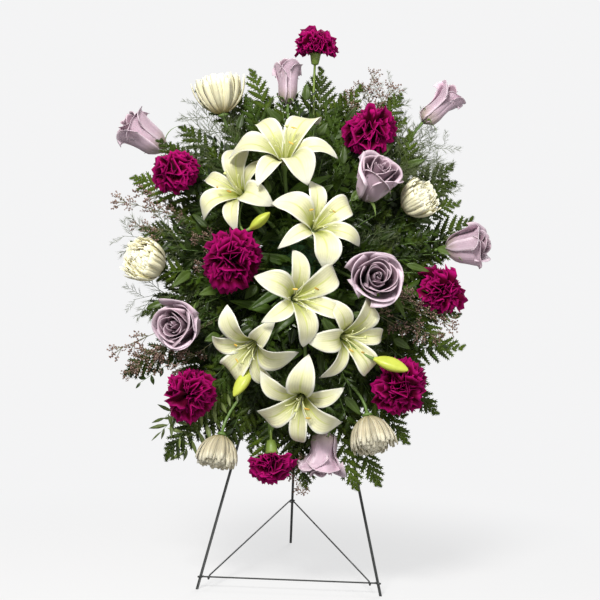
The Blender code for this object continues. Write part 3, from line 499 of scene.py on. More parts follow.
def round_form(bm, place, form, sides, shade=0.5, waves=0, depth=0.0):
    """A straight stalk up a frame, given as (height, radius)."""
    stalk(bm, [place @ up(z) for z, _ in form], [wide for _, wide in form], sides, shade, waves, depth)


def sheet(bm, across, along, shape, shade):
    """A thin petal or leaf: a grid bent by shape(s, t), s from -1 to 1 across, t from 0 to 1 along."""
    made = bmesh.ops.create_grid(
        bm, x_segments=across, y_segments=along, size=1.0, calc_uvs=True
    )["verts"]
    for vert in made:
        vert.co = shape(vert.co.x, (vert.co.y + 1.0) / 2.0)
    tint(bm, made, shade)


def piece(name, bm, finish, thickness=0.0, smooth=True):
    """Makes a finished mesh one piece of the arrangement. A thickness makes its sheets solid."""
    mesh = as_mesh(name, bm)
    if smooth:
        mesh.shade_smooth()
    mesh.materials.append(finish)
    made = link(name, mesh)
    if thickness:
        skin = made.modifiers.new("thickness", "SOLIDIFY")
        skin.thickness = thickness
        skin.offset = 0.0
    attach(made, "stand")
    return made


def hole_in_foam(face, place):
    """Where a stem leaves the foam, and the way that it comes out."""
    if face == "front":
        column, row = place
        return in_spray(column * HOLE_PITCH, row * HOLE_PITCH, 0.0), FACING
    column, row = place if isinstance(place, tuple) else (place, 0)
    side = 1.0 if face in ("right", "top") else -1.0
    if face in ("left", "right"):
        return in_spray(side * FOAM_HALF.x, column * HOLE_PITCH, EDGE_ROWS[row]), ACROSS * side
    return in_spray(column * END_PITCH, side * FOAM_HALF.y, EDGE_ROWS[row]), CLIMB * side


def stem_line(hole, tip, facing, steps=14):
    """The middle line of a stem, from just inside the foam to the back of its bloom."""
    mouth, outward = hole
    reach = (tip - mouth).length * STEM_PULL
    line = curve_through(mouth, mouth + outward * reach, tip - facing * reach * 0.7, tip, steps)
    return [mouth - outward * IN_FOAM, *line]


def level_side(facing, turn=0.0):
    """A direction square to facing to set a bloom's petals by, turned by so many degrees."""
    level = CLIMB if abs(facing.x) > 0.9 else ACROSS
    return Matrix.Rotation(math.radians(turn), 3, facing) @ (level - facing * level.dot(facing))


def new_skin(name, colours, values):
    """A node group that makes a colour and a height: its nodes, what it is given and what it makes."""
    tree = bpy.data.node_groups.new(name, "ShaderNodeTree")
    for names, kind in ((colours, "NodeSocketColor"), (values, "NodeSocketFloat")):
        for socket in names:
            tree.interface.new_socket(socket, in_out="INPUT", socket_type=kind)
    tree.interface.new_socket("Color", in_out="OUTPUT", socket_type="NodeSocketColor")
    tree.interface.new_socket("Height", in_out="OUTPUT", socket_type="NodeSocketFloat")
    given = tree.nodes.new("NodeGroupInput").outputs
    return Nodes(tree), given, tree.nodes.new("NodeGroupOutput").inputs


def petal_surface():
    """The skin of all the petals: a foot in a colour of its own, veins that fan from it, a paler rim and
    mottling. On the rose's heart and the carnations the dark foot is painted shade, on the mums partly so,
    and the carnations' paler rim is a painted highlight.
    """
    values = ("Foot End", "Rim Start", "Veins", "Vein Depth", "Mottle")
    g, given, made = new_skin("petal_surface", ("Foot", "Body", "Rim"), values)
    across, along = g.uv()
    wander = g.times(g.speckle(90.0, 2.0), 2.2)
    turns = g.plus(g.times(across, given["Veins"]), wander)
    vein = g.plus(g.times(g.maths("SINE", turns), 0.5), 0.5)
    fine = g.maths("SINE", g.times(turns, 2.7))
    vein = g.plus(g.times(vein, 0.75), g.times(fine, 0.12))
    body = g.mix(g.ease(along, 0.0, given["Foot End"]), given["Foot"], given["Body"])
    from_middle = g.times(g.maths("ABSOLUTE", g.minus(across, 0.5)), 2.0)
    edge = g.maths("MAXIMUM", from_middle, along)
    body = g.mix(g.ease(edge, given["Rim Start"], 1.0), body, given["Rim"])
    patch = g.minus(g.speckle(55.0, 3.0), 0.5)
    light = g.minus(1.0, g.times(vein, given["Vein Depth"]))
    light = g.plus(light, g.times(patch, given["Mottle"]))
    light = g.times(light, g.ease(g.shade(), 0.0, 1.0, 0.80, 1.16))
    g.feed(made["Color"], g.mix(1.0, body, g.grey(light), "MULTIPLY"))
    g.feed(made["Height"], g.plus(vein, g.times(patch, 0.6)))
    return g.tree


PETAL_SURFACE = petal_surface()


def petal_finish(name, roughness, foot, body, rim, shine=0.3, **values):
    """A petal's finish in the shared skin. values are the skin's other inputs."""
    f = Finish(name, roughness)
    f.wear(PETAL_SURFACE, 0.6, Foot=foot, Body=body, Rim=rim, **values)
    f.rough(f.ease(f.worn["Height"], 0.0, 1.2, roughness - 0.07, roughness + 0.07))
    f.set(Subsurface_Weight=0.12, Subsurface_Radius=(1.0, 0.85, 0.85), Subsurface_Scale=0.002)
    f.set(Specular_IOR_Level=shine, Sheen_Weight=0.3 * shine)
    return f


LILY_CREAM = (0.80, 0.78, 0.485)
LILY_RIM = (0.90, 0.89, 0.76)
LILY_FOOT = (0.36, 0.40, 0.055)
LILY_CHANNEL = (0.56, 0.60, 0.16)


def lily_petal_finish():
    """The shared skin with a green-yellow channel down the middle."""
    f = petal_finish(
        "lily_petal", 0.46, LILY_FOOT, LILY_CREAM, LILY_RIM,
        Foot_End=0.48, Rim_Start=0.70, Veins=64.0, Vein_Depth=0.10, Mottle=0.22,
    )
    across, along = f.uv()
    off_middle = f.maths("ABSOLUTE", f.minus(across, 0.5))
    channel = f.ease(off_middle, 0.0, 0.075, 1.0, 0.0)
    fades = f.ease(along, 0.30, 0.95, 0.85, 0.10)
    f.colour(f.mix(f.times(channel, fades), f.worn["Color"], LILY_CHANNEL))
    return f.material


def plain_growth(name, roughness, dark, pale, scale, height=0.0003):
    """Stems, stamens, buds and the like: two tones of one colour, drawn out along the growth."""
    f = Finish(name, roughness)
    grain = f.speckle(scale, 4.0)
    share = f.plus(f.times(grain, 0.6), f.minus(f.shade(), 0.3), True)
    f.colour(f.mix(share, dark, pale))
    f.rough(f.ease(grain, 0.3, 0.7, roughness - 0.08, roughness + 0.08))
    f.bump(f.speckle(scale * 5.0, 3.0), height, 0.6)
    return f.material


def leaf_surface():
    """The skin of all the leaves: two greens in blotches, with a paler midrib where there is one."""
    g, given, made = new_skin("leaf_surface", ("Dark", "Light", "Vein"), ("Rib",))
    off_middle = g.maths("ABSOLUTE", g.minus(g.uv()[0], 0.5))
    rib = g.times(g.ease(off_middle, 0.0, 0.09, 1.0, 0.0), given["Rib"])
    blotch = g.speckle(45.0, 4.0)
    patches = g.times(g.minus(blotch, 0.45), 0.9)
    body = g.mix(g.plus(g.shade(), patches, True), given["Dark"], given["Light"])
    g.feed(made["Color"], g.mix(rib, body, given["Vein"]))
    g.feed(made["Height"], g.minus(g.times(blotch, 0.4), rib))
    return g.tree


LEAF_SURFACE = leaf_surface()


def leaf_finish(name, roughness, dark, light, rib=0.0, shine=0.2):
    f = Finish(name, roughness)
    f.wear(LEAF_SURFACE, 0.7, Dark=dark, Light=light, Vein=LEAF_RIB, Rib=rib)
    f.rough(f.ease(f.speckle(110.0, 3.0), 0.3, 0.7, roughness - 0.1, roughness + 0.1))
    f.set(Specular_IOR_Level=shine)
    return f.material


LILY_PETAL = lily_petal_finish()
LILY_LEAF = leaf_finish("lily_leaf", 0.42, (0.016, 0.036, 0.004), (0.080, 0.150, 0.017), rib=0.6)
STEM = plain_growth("green_stem", 0.5, STEM_GREEN, STEM_PALE, 70.0)
FILAMENT = plain_growth("lily_filament", 0.5, (0.62, 0.66, 0.22), (0.82, 0.82, 0.50), 90.0)
ANTHER = plain_growth("lily_anther", 0.85, (0.50, 0.29, 0.03), (0.80, 0.56, 0.12), 600.0, 0.0006)
BUD = plain_growth("lily_bud", 0.42, (0.21, 0.31, 0.012), (0.62, 0.67, 0.09), 60.0)


def lily_tepal(bm, throat, angle, reach, cup, wide, taper, rng):
    """One tepal: it leaves the throat steeply, arches over and rolls back at its tip."""
    lean_in = rng.uniform(0.92, 1.08)
    curl = rng.uniform(0.24, 0.40)
    sway = rng.uniform(-0.09, 0.09)
    twist = rng.uniform(-0.35, 0.35)
    wave, phase = rng.uniform(0.06, 0.14), rng.uniform(0.0, 6.3)
    wide *= rng.uniform(0.88, 1.06)
    reach *= rng.uniform(0.94, 1.05)
    turned = throat @ spin(angle, "Z")

    def shape(s, t):
        q = t**0.92
        height = (1.85 * q - 1.85 * q * q + 0.50 * q**3 - curl * q**5) * cup * lean_in
        rise = (1.85 - 3.7 * q + 1.5 * q * q - 5.0 * curl * q**4) * cup * lean_in
        half = wide * (0.49 * q**0.85 * (1.0 - q**taper) ** 0.9 + 0.06 * (1.0 - q)) + 0.002
        hollow = s * s * (0.42 * (1.0 - q) + 0.05) - 0.30 * max(0.0, q - 0.72) * s * s
        groove = 0.055 * math.exp(-((s / 0.13) ** 2)) * (1.0 - q)
        ruffle = wave * abs(s) ** 3 * math.sin(9.0 * q + phase + 1.5 * s)
        lift = half * hollow - groove * half + ruffle * half + twist * half * s * q
        norm = math.hypot(1.0, rise)
        x = q - lift * rise / norm
        z = height + lift / norm
        y = half * s + sway * q * q
        return turned @ Vector((0.004 + x * (reach - 0.004), y * reach, z * reach))

    sheet(bm, 10, 20, shape, rng.uniform(0.25, 0.75))


def lily_heart(bm, throat, reach, rng):
    """Six stamens and a pistil. Only two of the stamens still have their anthers."""
    anthers = new_growth()
    kept = rng.sample(range(6), 2)
    for k in range(7):
        pistil = k == 6
        angle = math.radians(60.0 * k + 30.0 + rng.uniform(-12.0, 12.0))
        out = 0.10 if pistil else rng.uniform(0.20, 0.30)
        high = 0.78 if pistil else rng.uniform(0.56, 0.68)
        way = Vector((math.cos(angle), math.sin(angle), 0.0))
        start = throat @ (way * 0.0022)
        first = throat @ (way * 0.004 + Vector((0, 0, high * reach * 0.4)))
        second = throat @ (way * reach * out * 0.45 + Vector((0, 0, high * reach * 0.8)))
        end = throat @ (way * reach * out + Vector((0, 0, high * reach)))
        line = frames_along(curve_through(start, first, second, end, 7))
        thick = 0.0013 if pistil else 0.0008
        radii = [thick * (1.25 - 0.35 * i / 7.0) for i in range(8)]
        stalk(bm, line, radii, 6, 0.75)
        if pistil:
            round_form(bm, line[-1], PISTIL_KNOB, 9, 0.2, 3, 0.22)
        elif k in kept:
            laid = line[-1] @ spin(math.radians(78.0), "X")
            round_form(anthers, laid, ANTHER_GRAIN, 8, rng.random(), 2, 0.2)
        else:
            round_form(bm, line[-1], BARE_TIP, 6, 1.0)
    return anthers


def lily_bud(name, place, facing, length):
    """A closed bud: three ridged outer tepals pressed together, drawn to a blunt point."""
    bm = new_growth()
    base, way = in_spray(*place), aim(*facing)
    bend = level_side(way).cross(way) * length * 0.05
    line = [base + way * length * share + bend * math.sin(math.pi * share) for share, _ in BUD_FORM]
    radii = [radius * length for _, radius in BUD_FORM]
    stalk(bm, frames_along(line), radii, 18, 0.75, 3, 0.15)
    bud = piece(name + "_bud", bm, BUD)
    smooth = bud.modifiers.new("smooth", "SUBSURF")
    smooth.levels = smooth.render_levels = 1
    return base, way


def stem_leaf(bm, root, way, half, arch, shade):
    """A long leaf from a stem: creased along its midrib, widest below the middle, drawn to a point."""
    turned = frame_on(root, way, way.cross(FACING))
    length = way.length

    def shape(s, t):
        wide = half * min(1.0, (t / 0.3) ** 0.7) * (1.0 - t**2.2) ** 0.9 + 0.0006
        lift = length * arch * t * (1.0 - t) + 0.30 * wide * s * s - 0.05 * length * t**3
        return turned @ Vector((wide * s, -lift, length * t))

    sheet(bm, 4, 10, shape, shade)


def lily(name, hole, place, facing, reach, turn, cup):
    rng = random.Random(name)
    facing = aim(*facing)
    side = level_side(facing, turn)
    base = in_spray(*place) - facing * LILY_DEPTH
    throat = frame_on(base + facing * THROAT_RISE, facing, side)
    petals = new_growth()
    for k in range(6):
        outer = k % 2
        angle = math.radians(60.0 * k + 30.0 + rng.uniform(-5.0, 5.0))
        lily_tepal(
            petals, throat @ up(-0.0008 * outer), angle,
            reach * (1.0 - 0.02 * outer), cup - 0.10 * outer, 1.08 - 0.24 * outer, 2.5 - 0.8 * outer, rng,
        )
    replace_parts(piece(name + "_petals", petals, LILY_PETAL, TEPAL_THICKNESS), name)
    heart = new_growth()
    anthers = lily_heart(heart, throat, reach, rng)
    piece(name + "_stamens", heart, FILAMENT)
    piece(name + "_anthers", anthers, ANTHER)
    stem = new_growth()
    line = stem_line(hole_in_foam("front", hole), base, facing, LILY_STEM_STEPS)
    swell = [base + facing * rise for rise, _ in LILY_SWELL]
    radii = [LILY_STEM] * len(line) + [wide for _, wide in LILY_SWELL]
    stalk(stem, frames_along([*line, *swell]), radii, 10, 0.5)
    if name in LILY_BUDS:
        bud_base, way = lily_bud(name, *LILY_BUDS[name])
        fork = min(line, key=lambda point: (point - bud_base).length + 0.3 * (point - base).length)
        reach_out = (bud_base - fork).length * 0.45
        arm = curve_through(fork, fork + facing * reach_out, bud_base - way * reach_out, bud_base, 10)
        stalk(stem, frames_along(arm), [0.0019] * 9 + [0.0024, 0.0034], 8, 0.75)
    piece(name + "_stem", stem, STEM)
    leaves = new_growth()
    for share, (angle, far) in zip(LILY_LEAF_STARTS, LILY_LEAVES[name]):
        way = level_way(math.radians(angle)) * far + FACING * 0.008
        root = line[round(share * LILY_STEM_STEPS) + 1]
        stem_leaf(leaves, root, way, LILY_LEAF_HALF, 0.10, rng.uniform(0.2, 0.9))
    piece(name + "_leaves", leaves, LILY_LEAF, LEAF_THICKNESS)


for lily_name, settings in LILIES.items():
    lily(lily_name, *settings)


# ================================================================ roses
# Eight lavender roses at several stages. Each is a stem, a green hip with five sepals and 15 or 20
# petals in a spiral: furled tight in the middle, rolled back at the lip further out.
ROSES = {
    # hole in the foam (face, place), middle of the bloom, facing, radius, height in radii, openness,
    # petals, how waisted
    "rose_top": ("top", -1, (-0.036, 0.317, 0.020), (-0.03, 0.98, 0.16), 0.025, 3.0, 0.55, 15, 0.22),
    "rose_top_left": ("left", 3, (-0.284, 0.222, -0.020), (-0.80, 0.50, 0.32), 0.035, 2.5, 0.45, 15, 0.1),
    "rose_top_right": ("right", 3, (0.231, 0.284, 0.015), (0.70, 0.70, 0.12), 0.026, 3.0, 0.25, 15, 0.45),
    "rose_upper_right": (
        "front", (1, 2), (0.115, 0.124, 0.085), (0.34, 0.56, 0.76), 0.038, 2.1, 0.55, 20, 0.0,
    ),
    "rose_right": ("right", 1, (0.280, 0.032, 0.030), (0.93, 0.08, 0.36), 0.033, 2.2, 0.35, 15, 0.0),
    "rose_centre_right": (
        "front", (1, 0), (0.121, -0.053, 0.127), (0.12, 0.00, 0.99), 0.041, 1.7, 1.0, 20, 0.0,
    ),
    "rose_left": ("left", -1, (-0.194, -0.130, 0.070), (-0.44, -0.22, 0.87), 0.039, 1.8, 0.8, 20, 0.0),
    "rose_bottom": ("bottom", 1, (0.050, -0.330, 0.025), (-0.02, -0.99, 0.06), 0.031, 2.25, 0.45, 15, 0.45),
}
WHORL = 5  # petals, and sepals, in one turn round a rose
LIP = 0.60  # where along a petal its lip starts to roll
ROSE_HIP = ((0.03, 0.12), (0.12, 0.20), (0.2, 0.16))  # height and radius, in the rose's radii
ROSE_STEM = 0.0026
BLOOM_THICKNESS = 0.0005  # of a rose's or a mum's petal
SEPAL_THICKNESS = 0.0006
GOLDEN = math.radians(137.508)
ROSE_PETAL = petal_finish(
    "rose_petal", 0.6, (0.44, 0.36, 0.30), (0.58, 0.43, 0.51), (0.76, 0.61, 0.69),
    Foot_End=0.34, Rim_Start=0.70, Veins=26.0, Vein_Depth=0.08, Mottle=0.45,
).material
# The inner petals get a darker copy of the petal finish, near black at the foot: painted shade deep in the
# folds between the whorls.
SHADED_ROSE_HEART = petal_finish(
    "rose_heart_petal", 0.6, (0.045, 0.022, 0.03), (0.30, 0.19, 0.24), (0.70, 0.54, 0.61),
    Foot_End=0.72, Rim_Start=0.70, Veins=26.0, Vein_Depth=0.05, Mottle=0.30,
).material


def ease_between(value, low, high):
    share = min(1.0, max(0.0, (value - low) / (high - low)))
    return share * share * (3.0 - 2.0 * share)


def rose_petal(bm, top, size, tall, f, angle, openness, waist, rng):
    """One petal of the spiral, f from 0 at the furled middle to 1 outside. It stands up from the hip,
    bellies out, and rolls its lip over outwards, most at its corners, which leaves it pointed."""
    belly = size * (0.22 + 0.47 * f) * (1.0 + 0.25 * waist)
    mouth = size * (0.05 + (0.78 + 0.16 * openness) * f)
    height = size * tall * (1.0 - (0.06 + 0.16 * openness) * f * f + rng.uniform(-0.05, 0.03))
    wrap = (2.5 - 1.45 * f**0.5) * rng.uniform(0.88, 1.08)
    curl = size * (0.035 + 0.110 * f) * rng.uniform(0.7, 1.35) * (1.0 + 1.1 * waist)
    pinch = size * 0.45 * waist * f
    turn_back = (0.9 + 1.9 * f) * rng.uniform(0.65, 1.2)
    wave, phase = rng.uniform(0.05, 0.12), rng.uniform(0.0, 6.3)
    point = size * rng.uniform(0.08, 0.22) * (0.3 + 0.7 * f) * (0.35 + 0.65 * openness)
    corners = 0.25 + 0.25 * openness
    lean = rng.uniform(-0.10, 0.10) * size * (0.3 + f)

    def shape(s, t):
        climb = min(1.0, t / LIP)
        roll = max(0.0, (t - LIP) / 0.40)
        swell = math.sin(0.5 * math.pi * min(1.0, climb / (0.5 - 0.5 * waist))) ** 0.8
        turn = angle + s * wrap * (0.5 + 0.5 * swell)
        out = size * 0.12 * (1.0 - swell) + belly * swell
        out += (mouth - belly) * climb**2 - pinch * 6.75 * climb**2 * (1.0 - climb)
        high = height * climb * (1.0 - 0.24 * s**4)
        bend = turn_back * roll * (1.0 - corners + corners * s * s)
        out += curl * (1.0 - math.cos(bend)) + size * 0.06 * s * (0.4 + 0.6 * climb)
        high += curl * math.sin(bend) + point * math.exp(-((s / 0.28) ** 2)) * roll
        out += (size * wave * (0.3 + 0.7 * f) * math.sin(3.2 * s + phase) + lean * s) * climb
        high += size * wave * (0.5 + roll) * climb * math.sin(2.8 * s + 2.0 * phase)
        return top @ Vector((out * math.cos(turn), out * math.sin(turn), high))

    sheet(bm, 14, 10, shape, rng.uniform(0.2, 0.8))


def sepals(bm, top, size, rng):
    """Pointed green sepals under a rose, some held against it and some bent back."""
    for k in range(WHORL):
        angle = math.tau * k / WHORL + rng.uniform(-0.15, 0.15)
        length = size * rng.uniform(0.85, 1.25)
        back = rng.uniform(-0.5, 1.1)
        turned = top @ spin(angle, "Z")

        def shape(s, t):
            half = size * 0.16 * (1.0 - t) ** 0.8 * (0.6 + 0.4 * math.sin(math.pi * t))
            bend = 0.45 + back * t * 1.2
            out = size * 0.20 + length * t * math.sin(bend)
            high = size * 0.10 + length * t * math.cos(bend) - 0.3 * half * (1.0 - s * s)
            return turned @ Vector((out, half * s, high))

        sheet(bm, 4, 8, shape, rng.uniform(0.5, 1.0))


def seat(middle, facing, height, size):
    """Where the petals of a round bloom start, so far under its middle: the way that they face, the
    point, and a frame on it."""
    facing = aim(*facing)
    base = in_spray(*middle) - facing * height * size
    return facing, base, frame_on(base, facing, level_side(facing))


def bloom_stem(name, hole, base, facing, radius, form, size, finish=STEM):
    """The stem of a round bloom, swelling into the hip or calyx under its petals."""
    line = stem_line(hole_in_foam(*hole), base, facing)
    tops = [base + facing * (rise * size) for rise, _ in form]
    radii = [radius] * len(line) + [wide * size for _, wide in form]
    bm = new_growth()
    stalk(bm, frames_along([*line, *tops]), radii, 10, 0.4)
    piece(name + "_stem", bm, finish)


def rose(name, face, place, middle, facing, size, tall, openness, petals, waist):
    rng = random.Random(name)
    facing, base, top = seat(middle, facing, tall * 0.5, size)
    outside, heart = new_growth(), new_growth()
    whorls = petals // WHORL
    for i in range(petals):
        whorl, place_in = divmod(i, WHORL)
        f = (whorl + 0.10 * place_in) / (whorls - 0.60)
        holder = outside if whorl == whorls - 1 else heart
        angle = i * GOLDEN + rng.uniform(-0.25, 0.25)
        rose_petal(holder, top, size, tall, f, angle, openness, waist, rng)
    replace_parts(piece(name + "_petals", outside, ROSE_PETAL, BLOOM_THICKNESS), name)
    piece(name + "_heart", heart, SHADED_ROSE_HEART, BLOOM_THICKNESS)
    leaves = new_growth()
    sepals(leaves, top, size, rng)
    piece(name + "_sepals", leaves, STEM, SEPAL_THICKNESS)
    bloom_stem(name, (face, place), base, facing, ROSE_STEM, ROSE_HIP, size)


for rose_name, settings in ROSES.items():
    rose(rose_name, *settings)


# ================================================================ carnations
# Eight crimson-purple carnations: a green tubular calyx packed with fan-shaped petals, whose toothed
# edges ruffle into a dome.
CARNATIONS = {
    # hole in the foam (face, place), middle of the bloom, facing, radius, how far the petals spread
    "carnation_top": ("top", 1, (0.011, 0.392, 0.000), (0.02, 0.96, 0.25), 0.036, 0.85),
    "carnation_upper_right": ("top", 3, (0.110, 0.226, 0.045), (0.22, 0.40, 0.88), 0.041, 1.0),
    "carnation_upper_left": ("left", 2, (-0.224, 0.140, 0.052), (-0.45, 0.25, 0.85), 0.037, 1.0),
    "carnation_left": ("front", (-1, -1), (-0.116, -0.024, 0.120), (-0.10, 0.05, 0.98), 0.046, 1.0),
    "carnation_right": ("right", -1, (0.242, -0.048, 0.030), (0.60, -0.05, 0.78), 0.037, 1.0),
    "carnation_lower_left": ("left", -3, (-0.178, -0.242, 0.050), (-0.30, -0.28, 0.90), 0.038, 1.0),
    "carnation_lower_right": ("right", -3, (0.174, -0.222, 0.065), (0.32, -0.22, 0.90), 0.041, 1.0),
    "carnation_bottom": ("bottom", -1, (-0.036, -0.347, 0.030), (0.10, -0.99, 0.08), 0.040, 0.70),
}
CARNATION_MIDDLE = 0.89  # height of the middle over the calyx, in radii
CARNATION_PETALS = 50
PETAL_COLUMNS = 14  # of a petal's grid, with a tooth or a notch at the end of each
CALYX = ((0.02, 0.10), (0.06, 0.18), (0.30, 0.23), (0.50, 0.26), (0.60, 0.29), (0.61, 0.10))
CARNATION_RADIUS = 0.0021  # of its stem
FRILL_THICKNESS = 0.0004
# Near black at the foot, which is painted shade deep among the crowded petals; the much paler toothed rims
# are a painted highlight.
CARNATION_PETAL = petal_finish(
    "carnation_petal", 0.65, (0.008, 0.0, 0.002), (0.092, 0.0002, 0.017), (0.38, 0.004, 0.130), 0.04,
    Foot_End=0.86, Rim_Start=0.84, Veins=60.0, Vein_Depth=0.16, Mottle=0.9,
).material
CARNATION_STEM = plain_growth("carnation_stem", 0.5, (0.11, 0.19, 0.025), (0.31, 0.40, 0.085), 70.0)


def carnation_petal(bm, top, size, f, angle, spread, rng):
    """A fan on a narrow claw, toothed at its edge and crumpled. The inner ones stand any way round,
    which is what hides the middle of the bloom."""
    length = size * (1.20 - 0.26 * f) * rng.uniform(0.78, 1.10)
    lean = 0.03 + spread * 1.07 * f + rng.uniform(-0.10, 0.10)
    curl = (rng.uniform(0.0, 0.5) + 0.35 * f) * spread**2
    fan = rng.uniform(0.50, 0.85) * (0.70 + 0.30 * f)
    folds, phase = rng.uniform(1.6, 2.7), rng.uniform(0.0, 6.3)
    depth = rng.uniform(0.18, 0.30) * (1.10 - 0.35 * f)
    twist = rng.uniform(-1.5, 1.5) * (1.0 - f) ** 0.6
    turned = top @ spin(angle, "Z") @ Matrix.Translation((size * 0.10 * f, 0.0, size * 0.50))
    turned = turned @ spin(lean, "Y") @ spin(twist, "Z")

    def shape(s, t):
        wide = fan * (0.12 + 0.88 * t * t * (3.0 - 2.0 * t)) * s
        tooth = 0.05 if round((s + 1.0) * PETAL_COLUMNS / 2.0) % 2 else -0.05
        far = length * t * (1.0 - 0.20 * s**4 + tooth * ease_between(t, 0.7, 1.0))
        bend = curl * t * t
        ruffle = length * depth * t**1.5 * math.sin(math.pi * folds * s + phase)
        ruffle += length * 0.050 * t * t * math.sin(math.pi * 3.7 * s + 2.0 * phase)
        along = far * math.cos(wide)
        out = along * math.sin(bend) + ruffle * math.cos(bend)
        high = along * math.cos(bend) - ruffle * math.sin(bend)
        return turned @ Vector((out, far * math.sin(wide) * 1.05, high))

    sheet(bm, PETAL_COLUMNS, 5, shape, rng.uniform(0.1, 0.9))


def carnation(name, face, place, middle, facing, size, spread):
    rng = random.Random(name)
    facing, base, top = seat(middle, facing, CARNATION_MIDDLE, size)
    bm = new_growth()
    lobes = [(k, rng.uniform(0.04, 0.10), rng.uniform(0.0, 6.3)) for k in (2, 3, 5)]
    for i in range(CARNATION_PETALS):
        f = (i / (CARNATION_PETALS - 1)) ** 0.75
        angle = i * GOLDEN + rng.uniform(-0.3, 0.3)
        uneven = 1.0 + sum(depth * math.sin(k * angle + start) for k, depth, start in lobes)
        carnation_petal(bm, top, size * uneven, f, angle, spread, rng)
    frills = piece(name + "_petals", bm, CARNATION_PETAL, FRILL_THICKNESS)
    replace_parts(frills, name)
    hole, radius = (face, place), CARNATION_RADIUS
    bloom_stem(name, hole, base, facing, radius, CALYX, size, CARNATION_STEM)


for carnation_name, settings in CARNATIONS.items():
    carnation(carnation_name, *settings)


# ================================================================ mums
# Five ivory disbud chrysanthemums: narrow, channelled petals rise from one small base, the outer ones
# swept up into a bowl and the inner ones curving over its middle. The bottom two hang down and take a
# darker copy of the petal finish, which is painted shade.
MUMS = {
    # hole in the foam (face, place), middle of the bloom, facing, radius, how far the middle rises
    "mum_top": ("top", -3, (-0.156, 0.294, 0.015), (-0.22, 0.95, 0.20), 0.046, 0.75),
    "mum_left": ("left", 0, (-0.264, -0.018, 0.035), (-0.66, 0.20, 0.72), 0.042, 1.0),
    "mum_right": ("right", 2, (0.194, 0.106, 0.045), (0.68, 0.34, 0.64), 0.038, 0.9),
    "mum_bottom_left": ("bottom", -3, (-0.127, -0.336, 0.025), (-0.14, -0.98, 0.10), 0.037, 0.55),
    "mum_bottom_right": ("bottom", 3, (0.126, -0.300, 0.050), (0.18, -0.96, 0.17), 0.041, 0.75),
}
MUM_MIDDLE = 0.955  # height of the middle over the hip, in radii
MUM_PETALS = 160
# The base under the petals and the hip, as (height, radius) in the mum's radii.
MUM_CORE = ((0.22, 0.10), (0.42, 0.30), (0.70, 0.50), (1.05, 0.62), (1.32, 0.48), (1.46, 0.16))
MUM_HIP = ((0.05, 0.16), (0.12, 0.24), (0.18, 0.16))
MUM_STEM = 0.0026
STRAP_STEPS = 7  # along one petal
# Tan at the foot of each petal: partly the petals' own colour, partly painted shade where they crowd
# together at the base.
MUM_PETAL = petal_finish(
    "mum_petal", 0.55, (0.52, 0.38, 0.11), (0.90, 0.85, 0.57), (0.96, 0.93, 0.74), 0.2,
    Foot_End=0.55, Rim_Start=0.85, Veins=24.0, Vein_Depth=0.06, Mottle=0.12,
).material
# A darker, greyer copy of the petal finish for the two mums that hang down under the spray: painted shade.
SHADED_MUM_PETAL = petal_finish(
    "faded_mum_petal", 0.6, (0.36, 0.31, 0.13), (0.56, 0.50, 0.34), (0.78, 0.73, 0.56), 0.15,
    Foot_End=0.60, Rim_Start=0.70, Veins=24.0, Vein_Depth=0.10, Mottle=0.35,
).material


def mum_petal(bm, top, size, dome, f, angle, rng):
    """One strap: hollow along its length, a little wider near its blunt, turned-in tip."""
    length = size * (1.86 - 0.12 * dome - (0.82 - 0.66 * dome) * (1.0 - f)) * rng.uniform(0.90, 1.04)
    start = 0.06 + 1.42 * f**0.8 + rng.uniform(-0.04, 0.04)
    incurve = (0.30 + 0.55 * math.sin(math.pi * f)) * (1.0 - 0.6 * f)
    finish = start * rng.uniform(-0.06, 0.10) - incurve * (0.25 + 0.75 * dome)
    half = size * rng.uniform(0.105, 0.130)
    twist = rng.uniform(-0.4, 0.4)
    turned = top @ spin(angle, "Z")
    step = length / STRAP_STEPS
    line = [(size * 0.07 * f, size * 0.16)]
    for i in range(STRAP_STEPS):
        bend = start + (finish - start) * ((i + 0.5) / STRAP_STEPS) ** 0.8
        line.append((line[-1][0] + step * math.sin(bend), line[-1][1] + step * math.cos(bend)))

    def shape(s, t):
        out, high = line[round(t * STRAP_STEPS)]
        bend = start + (finish - start) * t**0.8
        wide = half * (0.50 + 0.50 * math.sin(0.5 * math.pi * min(1.0, 1.4 * t)))
        wide *= 1.0 if t < 0.9 else 0.66
        hollow = wide * 0.42 * s * s + wide * twist * s * t
        return turned @ Vector((out - hollow * math.cos(bend), wide * s, high + hollow * math.sin(bend)))

    sheet(bm, 2, STRAP_STEPS, shape, rng.uniform(0.2, 0.9))


def mum(name, face, place, middle, facing, size, dome):
    rng = random.Random(name)
    facing, base, top = seat(middle, facing, MUM_MIDDLE, size)
    bm = new_growth()
    low = 0.70 + 0.30 * dome
    round_form(bm, top, [(rise * low * size, wide * size) for rise, wide in MUM_CORE], 14)
    for i in range(MUM_PETALS):
        f = ((i + 0.5) / MUM_PETALS) ** 0.6
        mum_petal(bm, top, size, dome, f, i * GOLDEN, rng)
    # The hanging bottom mums take the darker copy of the finish: painted shade.
    finish = SHADED_MUM_PETAL if "bottom" in name else MUM_PETAL
    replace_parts(piece(name + "_petals", bm, finish, BLOOM_THICKNESS), name)
    bloom_stem(name, (face, place), base, facing, MUM_STEM, MUM_HIP, size)


for mum_name, settings in MUMS.items():
    mum(mum_name, *settings)


